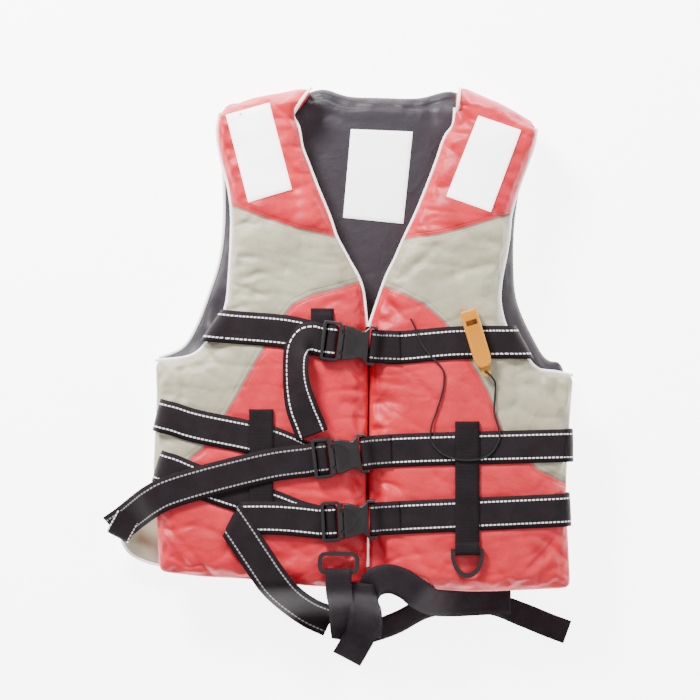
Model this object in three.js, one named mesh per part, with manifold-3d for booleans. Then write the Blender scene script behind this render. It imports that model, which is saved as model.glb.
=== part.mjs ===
// Buckled life jacket lying on its back. Millimetres, +Z up, +Y towards the neck.
import * as THREE from 'three';
import { mergeVertices } from 'three/addons/utils/BufferGeometryUtils.js';
import Module from 'manifold-3d';

const wasm = await Module();
wasm.setup();

// Stack of layers, measured up from the floor
const BACK_TOP = 38;
const FRONT_BASE = 45;
const FRONT_TOP = 85;
const GAP = 0.35;
const FABRIC = 1.4;
const EDGE_ROUND = 13;
const FOAM_INSET = 13;
const FOAM_GAP = 1;
const FOAM_ROUND = 2;
// Tool solids run this far past the object, sideways and upwards
const FAR = 400;
const REACH = 30;

// Webbing
const BELT_WIDTH = 38;
const WEB_THICK = 1.6;
const KEEPER_THICK = 1.2;
const CROTCH_WIDTH = 33;
const BELT_Z = FRONT_TOP + GAP + WEB_THICK / 2;
const BUCKLE_Z = 89;
const TAIL_Z = BUCKLE_Z + 0.9;
const SEWN_Z = BACK_TOP + GAP + WEB_THICK / 2;

// Buckles: name, centre and turn about +Z in degrees
const BUCKLES = [
  { name: 'top', x: -19, y: -4, turn: -7 },
  { name: 'middle', x: -29, y: -134, turn: 7 },
  { name: 'bottom', x: -19, y: -208, turn: 3 },
];

// Reflective piping and cord
const PIPING_R = 1.8;
const CORD_R = 1.1;

const COLOURS = {
  red: new THREE.MeshStandardMaterial({ color: 0xe8454b, roughness: 0.72, metalness: 0 }),
  khaki: new THREE.MeshStandardMaterial({ color: 0xb4b39c, roughness: 0.7, metalness: 0 }),
  lining: new THREE.MeshStandardMaterial({ color: 0x3d3642, roughness: 0.55, metalness: 0 }),
  webbing: new THREE.MeshStandardMaterial({ color: 0x2c282c, roughness: 0.8, metalness: 0 }),
  plastic: new THREE.MeshStandardMaterial({ color: 0x2a282a, roughness: 0.35, metalness: 0 }),
  white: new THREE.MeshStandardMaterial({ color: 0xf2f2ee, roughness: 0.5, metalness: 0 }),
  foam: new THREE.MeshStandardMaterial({ color: 0xe9e7e0, roughness: 0.9, metalness: 0 }),
  whistle: new THREE.MeshStandardMaterial({ color: 0xf0a030, roughness: 0.4, metalness: 0 }),
  cord: new THREE.MeshStandardMaterial({ color: 0x1d1b1d, roughness: 0.85, metalness: 0 }),
};

const group = new THREE.Group();
group.name = 'life_jacket';

function add(name, geometry, material) {
  const mesh = new THREE.Mesh(geometry, material);
  mesh.name = name;
  group.add(mesh);
}

// ---------- solids ----------

function toManifold(geometry) {
  const bare = geometry.clone();
  bare.deleteAttribute('normal');
  bare.deleteAttribute('uv');
  const merged = mergeVertices(bare, 1e-4);
  return new wasm.Manifold(new wasm.Mesh({
    numProp: 3,
    vertProperties: new Float32Array(merged.attributes.position.array),
    triVerts: new Uint32Array(merged.index.array),
  }));
}

function toGeometry(manifold) {
  const mesh = manifold.getMesh();
  const geometry = new THREE.BufferGeometry();
  geometry.setAttribute('position', new THREE.BufferAttribute(new Float32Array(mesh.vertProperties), 3));
  geometry.setIndex(new THREE.BufferAttribute(new Uint32Array(mesh.triVerts), 1));
  const flat = geometry.toNonIndexed();
  flat.computeVertexNormals();
  return flat;
}

function cut(base, ...tools) {
  return tools.reduce((left, tool) => left.subtract(toManifold(tool)), base);
}

function box(x0, x1, y0, y1, z0, z1) {
  const geometry = new THREE.BoxGeometry(x1 - x0, y1 - y0, z1 - z0);
  geometry.translate((x0 + x1) / 2, (y0 + y1) / 2, (z0 + z1) / 2);
  return geometry;
}

function shapeOf(points, holes = []) {
  const shape = new THREE.Shape(points.map((p) => new THREE.Vector2(p[0], p[1])));
  for (const hole of holes) {
    shape.holes.push(new THREE.Path(hole.map((p) => new THREE.Vector2(p[0], p[1]))));
  }
  return shape;
}

// Upright prism over an outline, from z0 to z1
function prism(points, z0, z1, holes = []) {
  const geometry = new THREE.ExtrudeGeometry(shapeOf(points, holes), {
    depth: z1 - z0,
    steps: 1,
    curveSegments: 1,
    bevelEnabled: false,
  });
  geometry.translate(0, 0, z0);
  return geometry;
}

// Outline moved inwards by a distance, corner by corner
function inwards(points, distance) {
  const count = points.length;
  return points.map((p, i) => {
    const a = points[(i + count - 1) % count];
    const b = points[(i + 1) % count];
    const l1 = Math.hypot(p[0] - a[0], p[1] - a[1]);
    const l2 = Math.hypot(b[0] - p[0], b[1] - p[1]);
    const n1 = [-(p[1] - a[1]) / l1, (p[0] - a[0]) / l1];
    const n2 = [-(b[1] - p[1]) / l2, (b[0] - p[0]) / l2];
    const share = Math.max(1 + n1[0] * n2[0] + n1[1] * n2[1], 0.5);
    return [p[0] + (n1[0] + n2[0]) / share * distance, p[1] + (n1[1] + n2[1]) / share * distance];
  });
}

// Cushion over an outline, with its top and bottom edges rounded
function cushion(outline, z0, z1, round, inset = 0, segments = 3) {
  const flat = outline.map((p) => new THREE.Vector2(p[0], p[1]));
  const points = THREE.ShapeUtils.isClockWise(flat) ? [...outline].reverse() : outline;
  const rings = [];
  for (let i = 0; i <= segments; i += 1) {
    const a = Math.PI / 2 * i / segments;
    rings.push({ off: inset + round * (1 - Math.sin(a)), z: round * (1 - Math.cos(a)) });
  }
  const levels = [...rings.map((r) => [r.off, z0 + r.z]), ...rings.reverse().map((r) => [r.off, z1 - r.z])];
  const count = points.length;
  const vertices = levels.flatMap(([off, z]) => inwards(points, off).flatMap((p) => [p[0], p[1], z]));
  const index = [];
  for (let k = 0; k < levels.length - 1; k += 1) {
    for (let i = 0; i < count; i += 1) {
      const j = (i + 1) % count;
      const low = k * count;
      const high = low + count;
      index.push(low + i, low + j, high + j, low + i, high + j, high + i);
    }
  }
  const caps = THREE.ShapeUtils.triangulateShape(points.map((p) => new THREE.Vector2(p[0], p[1])), []);
  const top = (levels.length - 1) * count;
  for (const [a, b, c] of caps) {
    index.push(c, b, a, top + a, top + b, top + c);
  }
  const geometry = new THREE.BufferGeometry();
  geometry.setAttribute('position', new THREE.Float32BufferAttribute(vertices, 3));
  geometry.setIndex(index);
  return geometry;
}

// Smooth run through hand-chosen points
function smooth(points, steps) {
  const curve = new THREE.CatmullRomCurve3(
    points.map((p) => new THREE.Vector3(p[0], p[1], p[2] || 0)), false, 'centripetal');
  return curve.getPoints(steps);
}

function smooth2(points, steps) {
  return smooth(points, steps).map((p) => [p.x, p.y]);
}

// Round cord along a route
function tube(points, radius, steps) {
  const curve = new THREE.CatmullRomCurve3(
    points.map((p) => new THREE.Vector3(p[0], p[1], p[2])), false, 'centripetal');
  const outline = new THREE.Shape();
  for (let i = 0; i < 8; i += 1) {
    const a = (i + 0.5) * Math.PI / 4;
    const x = radius * Math.cos(a);
    const y = radius * Math.sin(a);
    if (i === 0) outline.moveTo(x, y);
    else outline.lineTo(x, y);
  }
  outline.closePath();
  return new THREE.ExtrudeGeometry(outline, { steps, curveSegments: 1, extrudePath: curve });
}

// How much a strap's thickness may grow at a sharp turn
const MITER = { sharpest: 0.3, most: 1.6 };

// Flat strap: rows are [x, y, z, heading in degrees]; the width lies level across the heading
function strap(rows, width, thickness) {
  const corners = [];
  for (let i = 0; i < rows.length; i += 1) {
    const before = rows[Math.max(i - 1, 0)];
    const after = rows[Math.min(i + 1, rows.length - 1)];
    const heading = THREE.MathUtils.degToRad(rows[i][3]);
    const side = new THREE.Vector3(-Math.sin(heading), Math.cos(heading), 0);
    const here = new THREE.Vector3(rows[i][0], rows[i][1], rows[i][2]);
    const incoming = here.clone().sub(new THREE.Vector3(before[0], before[1], before[2]));
    const outgoing = new THREE.Vector3(after[0], after[1], after[2]).sub(here);
    if (incoming.length() > 0) incoming.normalize();
    if (outgoing.length() > 0) outgoing.normalize();
    const along = incoming.clone().add(outgoing);
    along.addScaledVector(side, -along.dot(side)).normalize();
    const up = along.clone().cross(side).normalize();
    const turn = incoming.length() > 0 && outgoing.length() > 0 ? incoming.dot(outgoing) : 1;
    const miter = Math.min(1 / Math.sqrt(Math.max((1 + turn) / 2, MITER.sharpest)), MITER.most);
    const w = width / 2;
    const t = thickness / 2 * miter;
    for (const [a, b] of [[-w, -t], [w, -t], [w, t], [-w, t]]) {
      corners.push(here.clone().addScaledVector(side, a).addScaledVector(up, b));
    }
  }
  const index = [];
  const quad = (a, b, c, d) => index.push(a, b, c, a, c, d);
  for (let i = 0; i < rows.length - 1; i += 1) {
    for (let k = 0; k < 4; k += 1) {
      const next = (k + 1) % 4;
      quad(4 * i + k, 4 * i + next, 4 * (i + 1) + next, 4 * (i + 1) + k);
    }
  }
  const last = 4 * (rows.length - 1);
  quad(0, 3, 2, 1);
  quad(last, last + 1, last + 2, last + 3);
  const geometry = new THREE.BufferGeometry();
  geometry.setAttribute('position', new THREE.Float32BufferAttribute(corners.flatMap((c) => c.toArray()), 3));
  geometry.setIndex(index);
  if (signedVolume(geometry) < 0) {
    for (let i = 0; i < index.length; i += 3) {
      [index[i + 1], index[i + 2]] = [index[i + 2], index[i + 1]];
    }
    geometry.setIndex(index);
  }
  return geometry;
}

function signedVolume(geometry) {
  const p = geometry.attributes.position;
  const at = (i) => new THREE.Vector3().fromBufferAttribute(p, geometry.index.getX(i));
  let sum = 0;
  for (let i = 0; i < geometry.index.count; i += 3) {
    sum += at(i).dot(at(i + 1).cross(at(i + 2)));
  }
  return sum / 6;
}

// ---------- panel outlines, anticlockwise ----------

const neckLeft = smooth2([[2, 15], [-4, 62], [-33, 122], [-64, 200], [-77, 244], [-81, 275],
  [-80, 312]], 16);
const armLeft = smooth2([[-174, 300], [-170, 256], [-168, 215], [-157, 172], [-153, 132], [-156, 70],
  [-160, 35], [-178, 2], [-200, -19], [-242, -25]], 18);
const hemLeft = smooth2([[-238, -268], [-187, -273], [-133, -278], [-60, -284], [2, -287]], 6);
const leftOutline = [...neckLeft, ...armLeft, [-240, -60], [-244, -168], [-240, -210], ...hemLeft];

const hemRight = smooth2([[5.5, -287], [68, -288], [171, -291], [238, -288]], 6);
const armRight = smooth2([[241, -42], [221, -38], [199, -34], [183, -15], [164, 12], [156, 40], [157, 69],
  [165, 112], [170, 150], [180, 186], [198, 245], [204, 280]], 18);
const neckRight = smooth2([[112, 330], [108, 285], [94, 230], [65, 154], [45, 114], [24, 69], [5.5, 15]], 16);
const rightOutline = [...hemRight, [235, -230], [233, -169], [237, -94], ...armRight, ...neckRight];

const backLeftArm = smooth2([[-174, 300], [-168, 250], [-164, 200], [-163, 150], [-168, 95], [-182, 50],
  [-196, 14], [-212, -10], [-240, -22]], 12);
const flap = smooth2([[-243, -60], [-245, -130], [-250, -186], [-270, -208], [-283, -226], [-276, -246],
  [-256, -258], [-236, -263]], 12);
const backRightArm = smooth2([[234, -36], [214, -26], [199, -2], [182, 33], [175, 63], [175, 132],
  [184, 190], [198, 245], [204, 280]], 12);
const collar = smooth2([[126, 324], [108, 297], [97, 291], [84, 288], [58, 281], [20, 279], [-16, 282],
  [-46, 289], [-64, 296], [-84, 318]], 12);
const backOutline = [...collar, ...backLeftArm, ...flap, [-60, -270], [100, -276], [232, -279],
  [230, -160], ...backRightArm];

// Shoulder lines where front and back meet in a fold
const SHOULDERS = {
  left: { x: -118, y: 276, turn: 14, half: 54, side: -1 },
  right: { x: 152.5, y: 269, turn: -27, half: 50, side: 1 },
};
const SHOULDER_DEPTH = 13;
// How far past the fold's neck end the front panels and the back collar are cut
const FRONT_SPARE = 60;
const COLLAR_SPARE = 4;

// Solid on the outer side of a shoulder line, used to end the panels square at the fold
function shoulderBlock(s, neckEnd) {
  const block = box(s.side < 0 ? -110 : -neckEnd, s.side < 0 ? neckEnd : 110, -SHOULDER_DEPTH, 110,
    -5, FRONT_TOP + 5);
  block.rotateZ(THREE.MathUtils.degToRad(s.turn));
  block.translate(s.x, s.y, 0);
  return block;
}

function withoutShoulder(manifold, neckSpare, ...sides) {
  return cut(manifold, ...sides.map((s) => shoulderBlock(SHOULDERS[s], SHOULDERS[s].half + neckSpare)));
}

// ---------- front panels ----------

// Seams between yoke, chest and lower fabric, from left to right
const SEAMS = {
  left: {
    upper: [[-200, 164], [-152, 154], [-116, 140], [-79, 128], [-20, 112]],
    lower: [[-270, -160], [-211, -144], [-187, -125], [-159, -83], [-130, -32], [-106, 8], [-88, 34],
      [-61, 52], [-33, 59], [20, 68]],
  },
  right: {
    upper: [[20, 108], [47, 116], [87, 121], [124, 131], [200, 154]],
    lower: [[-5, 66], [22, 62], [43, 54], [69, 41], [96, 17], [131, -39], [159, -105], [199, -149],
      [270, -176]],
  },
};

// Region between two height lines, each moved by half the seam's gap
function region(lower, upper) {
  const low = lower.map((p) => [p[0], p[1] + GAP]);
  const high = upper.map((p) => [p[0], p[1] - GAP]).reverse();
  return toManifold(prism([...low, ...high], FRONT_BASE - REACH, FRONT_TOP + REACH));
}

// One front panel; ends are the x of the region's two upright sides
function frontPanel(side, outline, ends) {
  const outer = toManifold(cushion(outline, FRONT_BASE, FRONT_TOP, EDGE_ROUND));
  const hollow = cushion(outline, FRONT_BASE - REACH, FRONT_TOP - FABRIC, EDGE_ROUND - FABRIC, FABRIC);
  const mid = FRONT_BASE + EDGE_ROUND;
  const floorCut = box(-FAR, FAR, -FAR, FAR, FRONT_BASE - 2 * REACH, mid);
  const cover = withoutShoulder(cut(outer, hollow, floorCut), FRONT_SPARE, side);
  const seams = SEAMS[side];
  const bottom = ends.map((x) => [x, -FAR]);
  const top = ends.map((x) => [x, FAR]);
  add(`front_${side}_yoke`, toGeometry(cover.intersect(region(seams.upper, top))), COLOURS.red);
  add(`front_${side}_chest`, toGeometry(cover.intersect(region(seams.lower, seams.upper))), COLOURS.khaki);
  add(`front_${side}_lower`, toGeometry(cover.intersect(region(bottom, seams.lower))), COLOURS.red);

  // Inner lining: a shallow tray that closes the panel from below
  const tray = toManifold(cushion(outline, FRONT_BASE, FRONT_TOP, EDGE_ROUND));
  const trayHollow = cushion(outline, FRONT_BASE + FABRIC, FRONT_TOP + REACH, EDGE_ROUND - FABRIC, FABRIC);
  const topCut = box(-FAR, FAR, -FAR, FAR, mid - GAP, FRONT_TOP + 2 * REACH);
  const lining = withoutShoulder(cut(tray, trayHollow, topCut), FRONT_SPARE, side);
  add(`front_${side}_lining`, toGeometry(lining), COLOURS.lining);

  const foamTop = FRONT_TOP - FABRIC - FOAM_GAP;
  const foam = cushion(outline, FRONT_BASE + FABRIC + FOAM_GAP, foamTop, FOAM_ROUND, FOAM_INSET, 1);
  add(`front_${side}_foam`, toGeometry(withoutShoulder(toManifold(foam), FRONT_SPARE, side)), COLOURS.foam);
}

frontPanel('left', leftOutline, [-FAR, 30]);
frontPanel('right', rightOutline, [-30, FAR]);

// ---------- back panel ----------

// Height where the outer fabric meets the lining
const backSeam = BACK_TOP - EDGE_ROUND;

function addBack(name, manifold, material) {
  add(name, toGeometry(withoutShoulder(manifold, COLLAR_SPARE, 'left', 'right')), material);
}

const backOuter = toManifold(cushion(backOutline, 0, BACK_TOP, EDGE_ROUND));
const backHollow = cushion(backOutline, FABRIC, BACK_TOP + REACH, EDGE_ROUND - FABRIC, FABRIC);
const aboveSeam = box(-FAR, FAR, -FAR, FAR, backSeam, BACK_TOP + 2 * REACH);
addBack('back_cover', cut(backOuter, backHollow, aboveSeam), COLOURS.khaki);
const backLid = cushion(backOutline, -REACH, BACK_TOP - FABRIC, EDGE_ROUND - FABRIC, FABRIC);
const belowSeam = box(-FAR, FAR, -FAR, FAR, -2 * REACH, backSeam + GAP);
addBack('back_lining', cut(backOuter, backLid, belowSeam), COLOURS.lining);
const backFoam = cushion(backOutline, FABRIC + FOAM_GAP, BACK_TOP - FABRIC - FOAM_GAP, FOAM_ROUND,
  FOAM_INSET, 1);
addBack('back_foam', toManifold(backFoam), COLOURS.foam);

// ---------- shoulder folds ----------

// Half-oval sleeve of fabric, open towards the panels
function shoulderFold(side) {
  const s = SHOULDERS[side];
  const profile = [];
  const steps = 14;
  const middle = FRONT_TOP / 2;
  const half = FRONT_TOP / 2;
  for (let i = 0; i <= steps; i += 1) {
    const a = -Math.PI / 2 + Math.PI * i / steps;
    profile.push([SHOULDER_DEPTH * Math.cos(a), middle + half * Math.sin(a)]);
  }
  for (let i = steps; i >= 0; i -= 1) {
    const a = -Math.PI / 2 + Math.PI * i / steps;
    profile.push([(SHOULDER_DEPTH - 3) * Math.cos(a), middle + (half - 3) * Math.sin(a)]);
  }
  const geometry = prism(profile, -s.half, s.half);
  // profile x becomes the outward direction, profile y becomes height
  geometry.applyMatrix4(new THREE.Matrix4().makeBasis(
    new THREE.Vector3(0, 1, 0), new THREE.Vector3(0, 0, 1), new THREE.Vector3(1, 0, 0)));
  geometry.translate(0, -SHOULDER_DEPTH + GAP, 0);
  geometry.rotateZ(THREE.MathUtils.degToRad(s.turn));
  geometry.translate(s.x, s.y, 0);
  add(`shoulder_${side}`, geometry, COLOURS.red);
}
shoulderFold('left');
shoulderFold('right');

// ---------- piping ----------

// Piping runs just outside a panel edge, offset along the outline's outward normal
function piping(name, points, z, from, to, steps) {
  const off = PIPING_R + GAP + 0.3;
  const route = [];
  for (let i = from; i < to; i += 1) {
    const a = points[Math.max(i - 1, 0)];
    const b = points[Math.min(i + 1, points.length - 1)];
    const length = Math.hypot(b[0] - a[0], b[1] - a[1]);
    route.push([points[i][0] + (b[1] - a[1]) / length * off, points[i][1] - (b[0] - a[0]) / length * off, z]);
  }
  add(name, tube(route, PIPING_R, steps), COLOURS.white);
}
const pipingZ = FRONT_BASE + 20;
piping('piping_neck_left', neckLeft, pipingZ, 1, neckLeft.length - 3, 30);
piping('piping_neck_right', neckRight, pipingZ, 3, neckRight.length - 1, 30);
piping('piping_arm_left', armLeft, pipingZ, 2, armLeft.length - 1, 30);
piping('piping_arm_right', armRight, pipingZ, 1, armRight.length - 2, 30);

// ---------- patches and label ----------

function patch(name, corners, z, thickness) {
  add(name, prism(corners, z + GAP, z + GAP + thickness), COLOURS.white);
}
const PATCH_THICK = 0.8;
const LABEL_THICK = 0.6;
patch('reflective_patch_left', [[-134, 159], [-85, 173], [-110, 257], [-158, 245]], FRONT_TOP, PATCH_THICK);
patch('reflective_patch_right', [[94, 165], [144, 148], [176, 232], [129, 252]], FRONT_TOP, PATCH_THICK);
patch('neck_label', [[-25, 142], [45, 135], [56, 242], [-16, 245]], BACK_TOP, LABEL_THICK);

// ---------- belts ----------

function place(stations, buckle) {
  const a = THREE.MathUtils.degToRad(buckle.turn);
  return stations.map(([x, y, z, h]) => [
    buckle.x + x * Math.cos(a) - y * Math.sin(a),
    buckle.y + x * Math.sin(a) + y * Math.cos(a), z + BUCKLE_Z, h + buckle.turn]);
}

// Length of belt that lies between the panels
const SEWN_LENGTH = 44;

// Left belt: sewn to the back panel's lining, round the front panel's edge, across to the ladder
function leftBelt(buckle, edge, via) {
  const h = edge.heading;
  const a = THREE.MathUtils.degToRad(h);
  const at = (d, z) => [edge.x - d * Math.cos(a), edge.y - d * Math.sin(a), z, h];
  const stations = [at(-SEWN_LENGTH, SEWN_Z), at(1, SEWN_Z), at(edge.out, SEWN_Z + 8),
    at(edge.out + 1, FRONT_BASE + 14), at(edge.out + 1, FRONT_TOP - 12),
    at(edge.out - 2, FRONT_TOP - 2), at(edge.out - 8, BELT_Z), ...via,
    ...place([[-31, 0, BELT_Z - BUCKLE_Z, 0], [-14, 0, BELT_Z - BUCKLE_Z, 0]], buckle)];
  add(`belt_${buckle.name}_left`, strap(stations, BELT_WIDTH, WEB_THICK), COLOURS.webbing);
}
leftBelt(BUCKLES[0], { x: -160, y: 15, heading: -5, out: 29 }, [[-90, 9, BELT_Z, -6]]);
leftBelt(BUCKLES[1], { x: -240, y: -87, heading: -14, out: 10 }, [[-192, -100, BELT_Z, -13],
  [-120, -115, BELT_Z, -10], [-84, -127, BELT_Z, -4]]);
leftBelt(BUCKLES[2], { x: -240, y: -146, heading: -17, out: 10 }, [[-187, -165, BELT_Z, -18],
  [-112, -190, BELT_Z, -15], [-74, -204, BELT_Z, -6]]);

// Right belt: up through the buckle's end slot, over the bar, sewn down on itself, across and round the edge
function rightBelt(buckle, edge, via) {
  const low = BELT_Z - BUCKLE_Z;
  const h = edge.heading;
  const a = THREE.MathUtils.degToRad(h);
  const at = (d, z) => [edge.x + d * Math.cos(a), edge.y + d * Math.sin(a), z, h];
  const loop = place([[58, 0, low + 2.1, 0], [40, 0, low + 2.1, 0], [35, 0, 4.5, 0], [32, 0, 6.6, 0],
    [25.7, 0, 6.6, 0], [25.7, 0, low + 1.2, 0], [29, 0, low, 0], [60, 0, low, 0]], buckle);
  const stations = [...loop, ...via, at(edge.out - 8, BELT_Z), at(edge.out - 2, FRONT_TOP - 2),
    at(edge.out + 1, FRONT_TOP - 12), at(edge.out + 1, FRONT_BASE + 14), at(edge.out, SEWN_Z + 8),
    at(1, SEWN_Z), at(-SEWN_LENGTH, SEWN_Z)];
  add(`belt_${buckle.name}_right`, strap(stations, BELT_WIDTH, WEB_THICK), COLOURS.webbing);
}
rightBelt(BUCKLES[0], { x: 160, y: -3, heading: 0, out: 36 }, [[100, -4, BELT_Z, 0]]);
rightBelt(BUCKLES[1], { x: 237, y: -122, heading: 1, out: 6 }, [[80, -126, BELT_Z, 1]]);
rightBelt(BUCKLES[2], { x: 234, y: -196, heading: 3, out: 8 }, [[80, -203, BELT_Z, 3]]);

// ---------- belt tails: round the ladder's middle bar and out to the left ----------

const ladderWrap = [[-14.7, 0, 0.3, 0], [-14.7, 0, 6.1, 0], [-24.5, 0, 6.1, 0], [-24.5, 0, 0.9, 0],
  [-34, 0, 0.9, 0]];

function tail(buckle, rest) {
  const stations = [...place(ladderWrap, buckle), ...rest];
  add(`tail_${buckle.name}`, strap(stations, BELT_WIDTH, WEB_THICK), COLOURS.webbing);
}

// Fill a route between hand-chosen stations
function route(stations, steps) {
  const path = smooth(stations.map((s) => [s[0], s[1], s[2]]), steps);
  const curve = new THREE.CatmullRomCurve3(
    stations.map((s, i) => new THREE.Vector3(i, s[3], 0)), false, 'centripetal');
  return path.map((p, i) => [p.x, p.y, p.z, curve.getPoint(i / steps).y]);
}

tail(BUCKLES[0], route([[-62, 3, TAIL_Z, -7], [-77, -4, TAIL_Z, 34], [-84, -22, TAIL_Z, 75],
  [-78, -55, TAIL_Z, 95], [-61, -104, TAIL_Z, 110]], 14));
tail(BUCKLES[1], route([[-66, -139, TAIL_Z, 7], [-110, -145, TAIL_Z, 10], [-180, -163, TAIL_Z, 16],
  [-238, -184, TAIL_Z, 20], [-262, -194, 82, 22], [-278, -202, 62, 26], [-296, -214, 44, 30]], 18));
tail(BUCKLES[2], route([[-62, -211, TAIL_Z, 3], [-110, -207, TAIL_Z, 0], [-140, -213, TAIL_Z, 60],
  [-136, -236, TAIL_Z, 118], [-107, -269, TAIL_Z, 130], [-88, -292, 84, 134], [-76, -303, 58, 136],
  [-66, -313, 26, 138], [-48, -331, 6, 144]], 26));

// ---------- keepers ----------

const keeperTop = FRONT_TOP + GAP + WEB_THICK + GAP + KEEPER_THICK / 2;
const keeperLow = FRONT_TOP + GAP + KEEPER_THICK / 2;

function keeper(name, x, width, stations) {
  add(name, strap(stations.map(([y, z]) => [x, y, z, 90]), width, KEEPER_THICK), COLOURS.webbing);
}
const KEEPER_WIDTH = 28;
keeper('keeper_top_left', -49, 26, [[36, keeperLow], [31, keeperLow], [28, keeperTop], [-25, keeperTop],
  [-29, keeperLow], [-33, keeperLow]]);
keeper('keeper_left', -119, KEEPER_WIDTH, [[-82, keeperLow], [-87, keeperLow], [-90, keeperTop],
  [-212, keeperTop], [-216, keeperLow], [-221, keeperLow]]);

// ---------- D-ring in the lower loop of the right keeper ----------

const DRING = { x: 118, y: -243, z: 90.6, bar: 2.5, halfInner: 15.5 };
const ringSwing = DRING.bar * Math.SQRT2 + GAP + KEEPER_THICK / 2;
const loopLow = keeperLow;
const loopHigh = DRING.z + ringSwing;
const loopEnd = DRING.y - ringSwing;
keeper('keeper_right', DRING.x, KEEPER_WIDTH, [[-96, keeperLow], [-101, keeperLow], [-104, keeperTop],
  [-226, keeperTop], [-233, loopHigh - 1.5], [-239, loopHigh], [loopEnd + 2, loopHigh],
  [loopEnd, loopHigh - 1.8], [loopEnd, loopLow + 1.8], [loopEnd + 2, loopLow], [-231, loopLow]]);

const ringBar = DRING.bar;
const dOuter = [[-19, 2.5], [19, 2.5], ...smooth2([[19, -8], [15, -21], [7, -29], [0, -31], [-7, -29],
  [-15, -21], [-19, -8]], 12)];
const dInner = [[-DRING.halfInner, -ringBar], ...smooth2([[-14.5, -9], [-10, -19], [-4.5, -24.5], [0, -25.5],
  [4.5, -24.5], [10, -19], [14.5, -9]], 12), [DRING.halfInner, -ringBar]];
const dRing = prism(dOuter, -ringBar, ringBar, [dInner]);
dRing.translate(DRING.x, DRING.y, DRING.z);
add('d_ring', dRing, COLOURS.plastic);

// ---------- buckles ----------

// Heights are above the buckle's own base
const TONGUE = { bottom: 2.4, top: 6.6 };
const PRONG = { x: -6.5, y: 12, root: 2.2, bottom: 3, top: 6 };
const SOCKET = { bottom: 2, top: 7, half: 16.8, end: 14.5 };
const FEMALE_HIGH = 9;
const MALE_HIGH = 8;
// Half length of the slots that take the webbing
const SLOT_HALF = 19.5;

function mirrored(points) {
  return [...points, ...points.map((p) => [p[0], -p[1]]).reverse()];
}

function buckle(b) {
  const set = (geometry) => {
    geometry.rotateZ(THREE.MathUtils.degToRad(b.turn));
    geometry.translate(b.x, b.y, BUCKLE_Z);
    return geometry;
  };

  // Female half: flat socket, narrow waist, flared end with a slot for the webbing
  const body = mirrored([[-5, 20], [2, 19.6], [14, 15.8], [17, 16.2], [21, 20], [23, 22.8], [32, 22.8]]);
  let female = toManifold(cushion(body, 0, FEMALE_HIGH, 1.5, 0, 2));
  const socket = mirrored([[-6, SOCKET.half], [SOCKET.end, SOCKET.half], [SOCKET.end, 9], [17, 7]]);
  const slot = box(23.4, 28, -SLOT_HALF, SLOT_HALF, -1, 10);
  const barDip = box(27.5, 33, -SLOT_HALF, SLOT_HALF, 5.2, 10);
  const barUnder = box(22.4, 33, -SLOT_HALF, SLOT_HALF, -1, 1);
  const arch = mirrored([[-6, 15], [-1, 14], [7, 9], [10, 4]]);
  female = cut(female, prism(socket, SOCKET.bottom, SOCKET.top), slot, barDip, barUnder,
    prism(arch, 8.2, 10));
  add(`buckle_${b.name}_female`, set(toGeometry(female)), COLOURS.plastic);

  // Male half: ladder frame, base block and guide tongue
  const frame = mirrored([[-31, 21], [-29, 23], [-12, 23], [-9, 20.5], [-5.6, 20.5]]);
  const tongue = mirrored([[-7, 3], [12, 3], [14, 1.5]]);
  let male = toManifold(cushion(frame, 0, MALE_HIGH, 1, 0, 1));
  male = male.add(toManifold(prism(tongue, TONGUE.bottom, TONGUE.top)));
  // Two webbing slots, then the undersides and tops of the ladder's bars
  male = cut(male,
    box(-27.2, -22, -SLOT_HALF, SLOT_HALF, -1, 9), box(-17.6, -12, -SLOT_HALF, SLOT_HALF, -1, 9),
    box(-32, -26, -SLOT_HALF, SLOT_HALF, -1, 2.4), box(-22.5, -17, -SLOT_HALF, SLOT_HALF, 4.7, 9),
    box(-26, -17, -SLOT_HALF, SLOT_HALF, -1, 1));
  for (const side of [1, -1]) {
    const pocket = new THREE.CylinderGeometry(PRONG.root + GAP, PRONG.root + GAP, 12, 12);
    pocket.rotateX(Math.PI / 2);
    pocket.translate(PRONG.x, side * PRONG.y, 4.5);
    const mouth = box(PRONG.x, -5, side * PRONG.y - 3.4, side * PRONG.y + 3.4, -1, 12);
    male = cut(male, pocket, mouth);
  }
  add(`buckle_${b.name}_male`, set(toGeometry(male)), COLOURS.plastic);

  // Prongs: springy arms with an outward barb, turning about their round roots
  for (const [side, label] of [[1, 'a'], [-1, 'b']]) {
    const rootArc = [];
    for (let i = 0; i <= 6; i += 1) {
      const a = Math.PI / 2 + Math.PI * i / 6;
      rootArc.push([PRONG.x + PRONG.root * Math.cos(a), PRONG.y + PRONG.root * Math.sin(a)]);
    }
    const arm = [...rootArc, [8, 10.2], [13, 10.5], [13.4, 12.6], [11, 15.9], [4, 15.9], [1, 14.2]];
    const points = side > 0 ? arm : arm.map((p) => [p[0], -p[1]]).reverse();
    add(`buckle_${b.name}_prong_${label}`, set(prism(points, PRONG.bottom, PRONG.top)), COLOURS.plastic);
  }
}
BUCKLES.forEach(buckle);

// ---------- whistle and lanyard ----------

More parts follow.
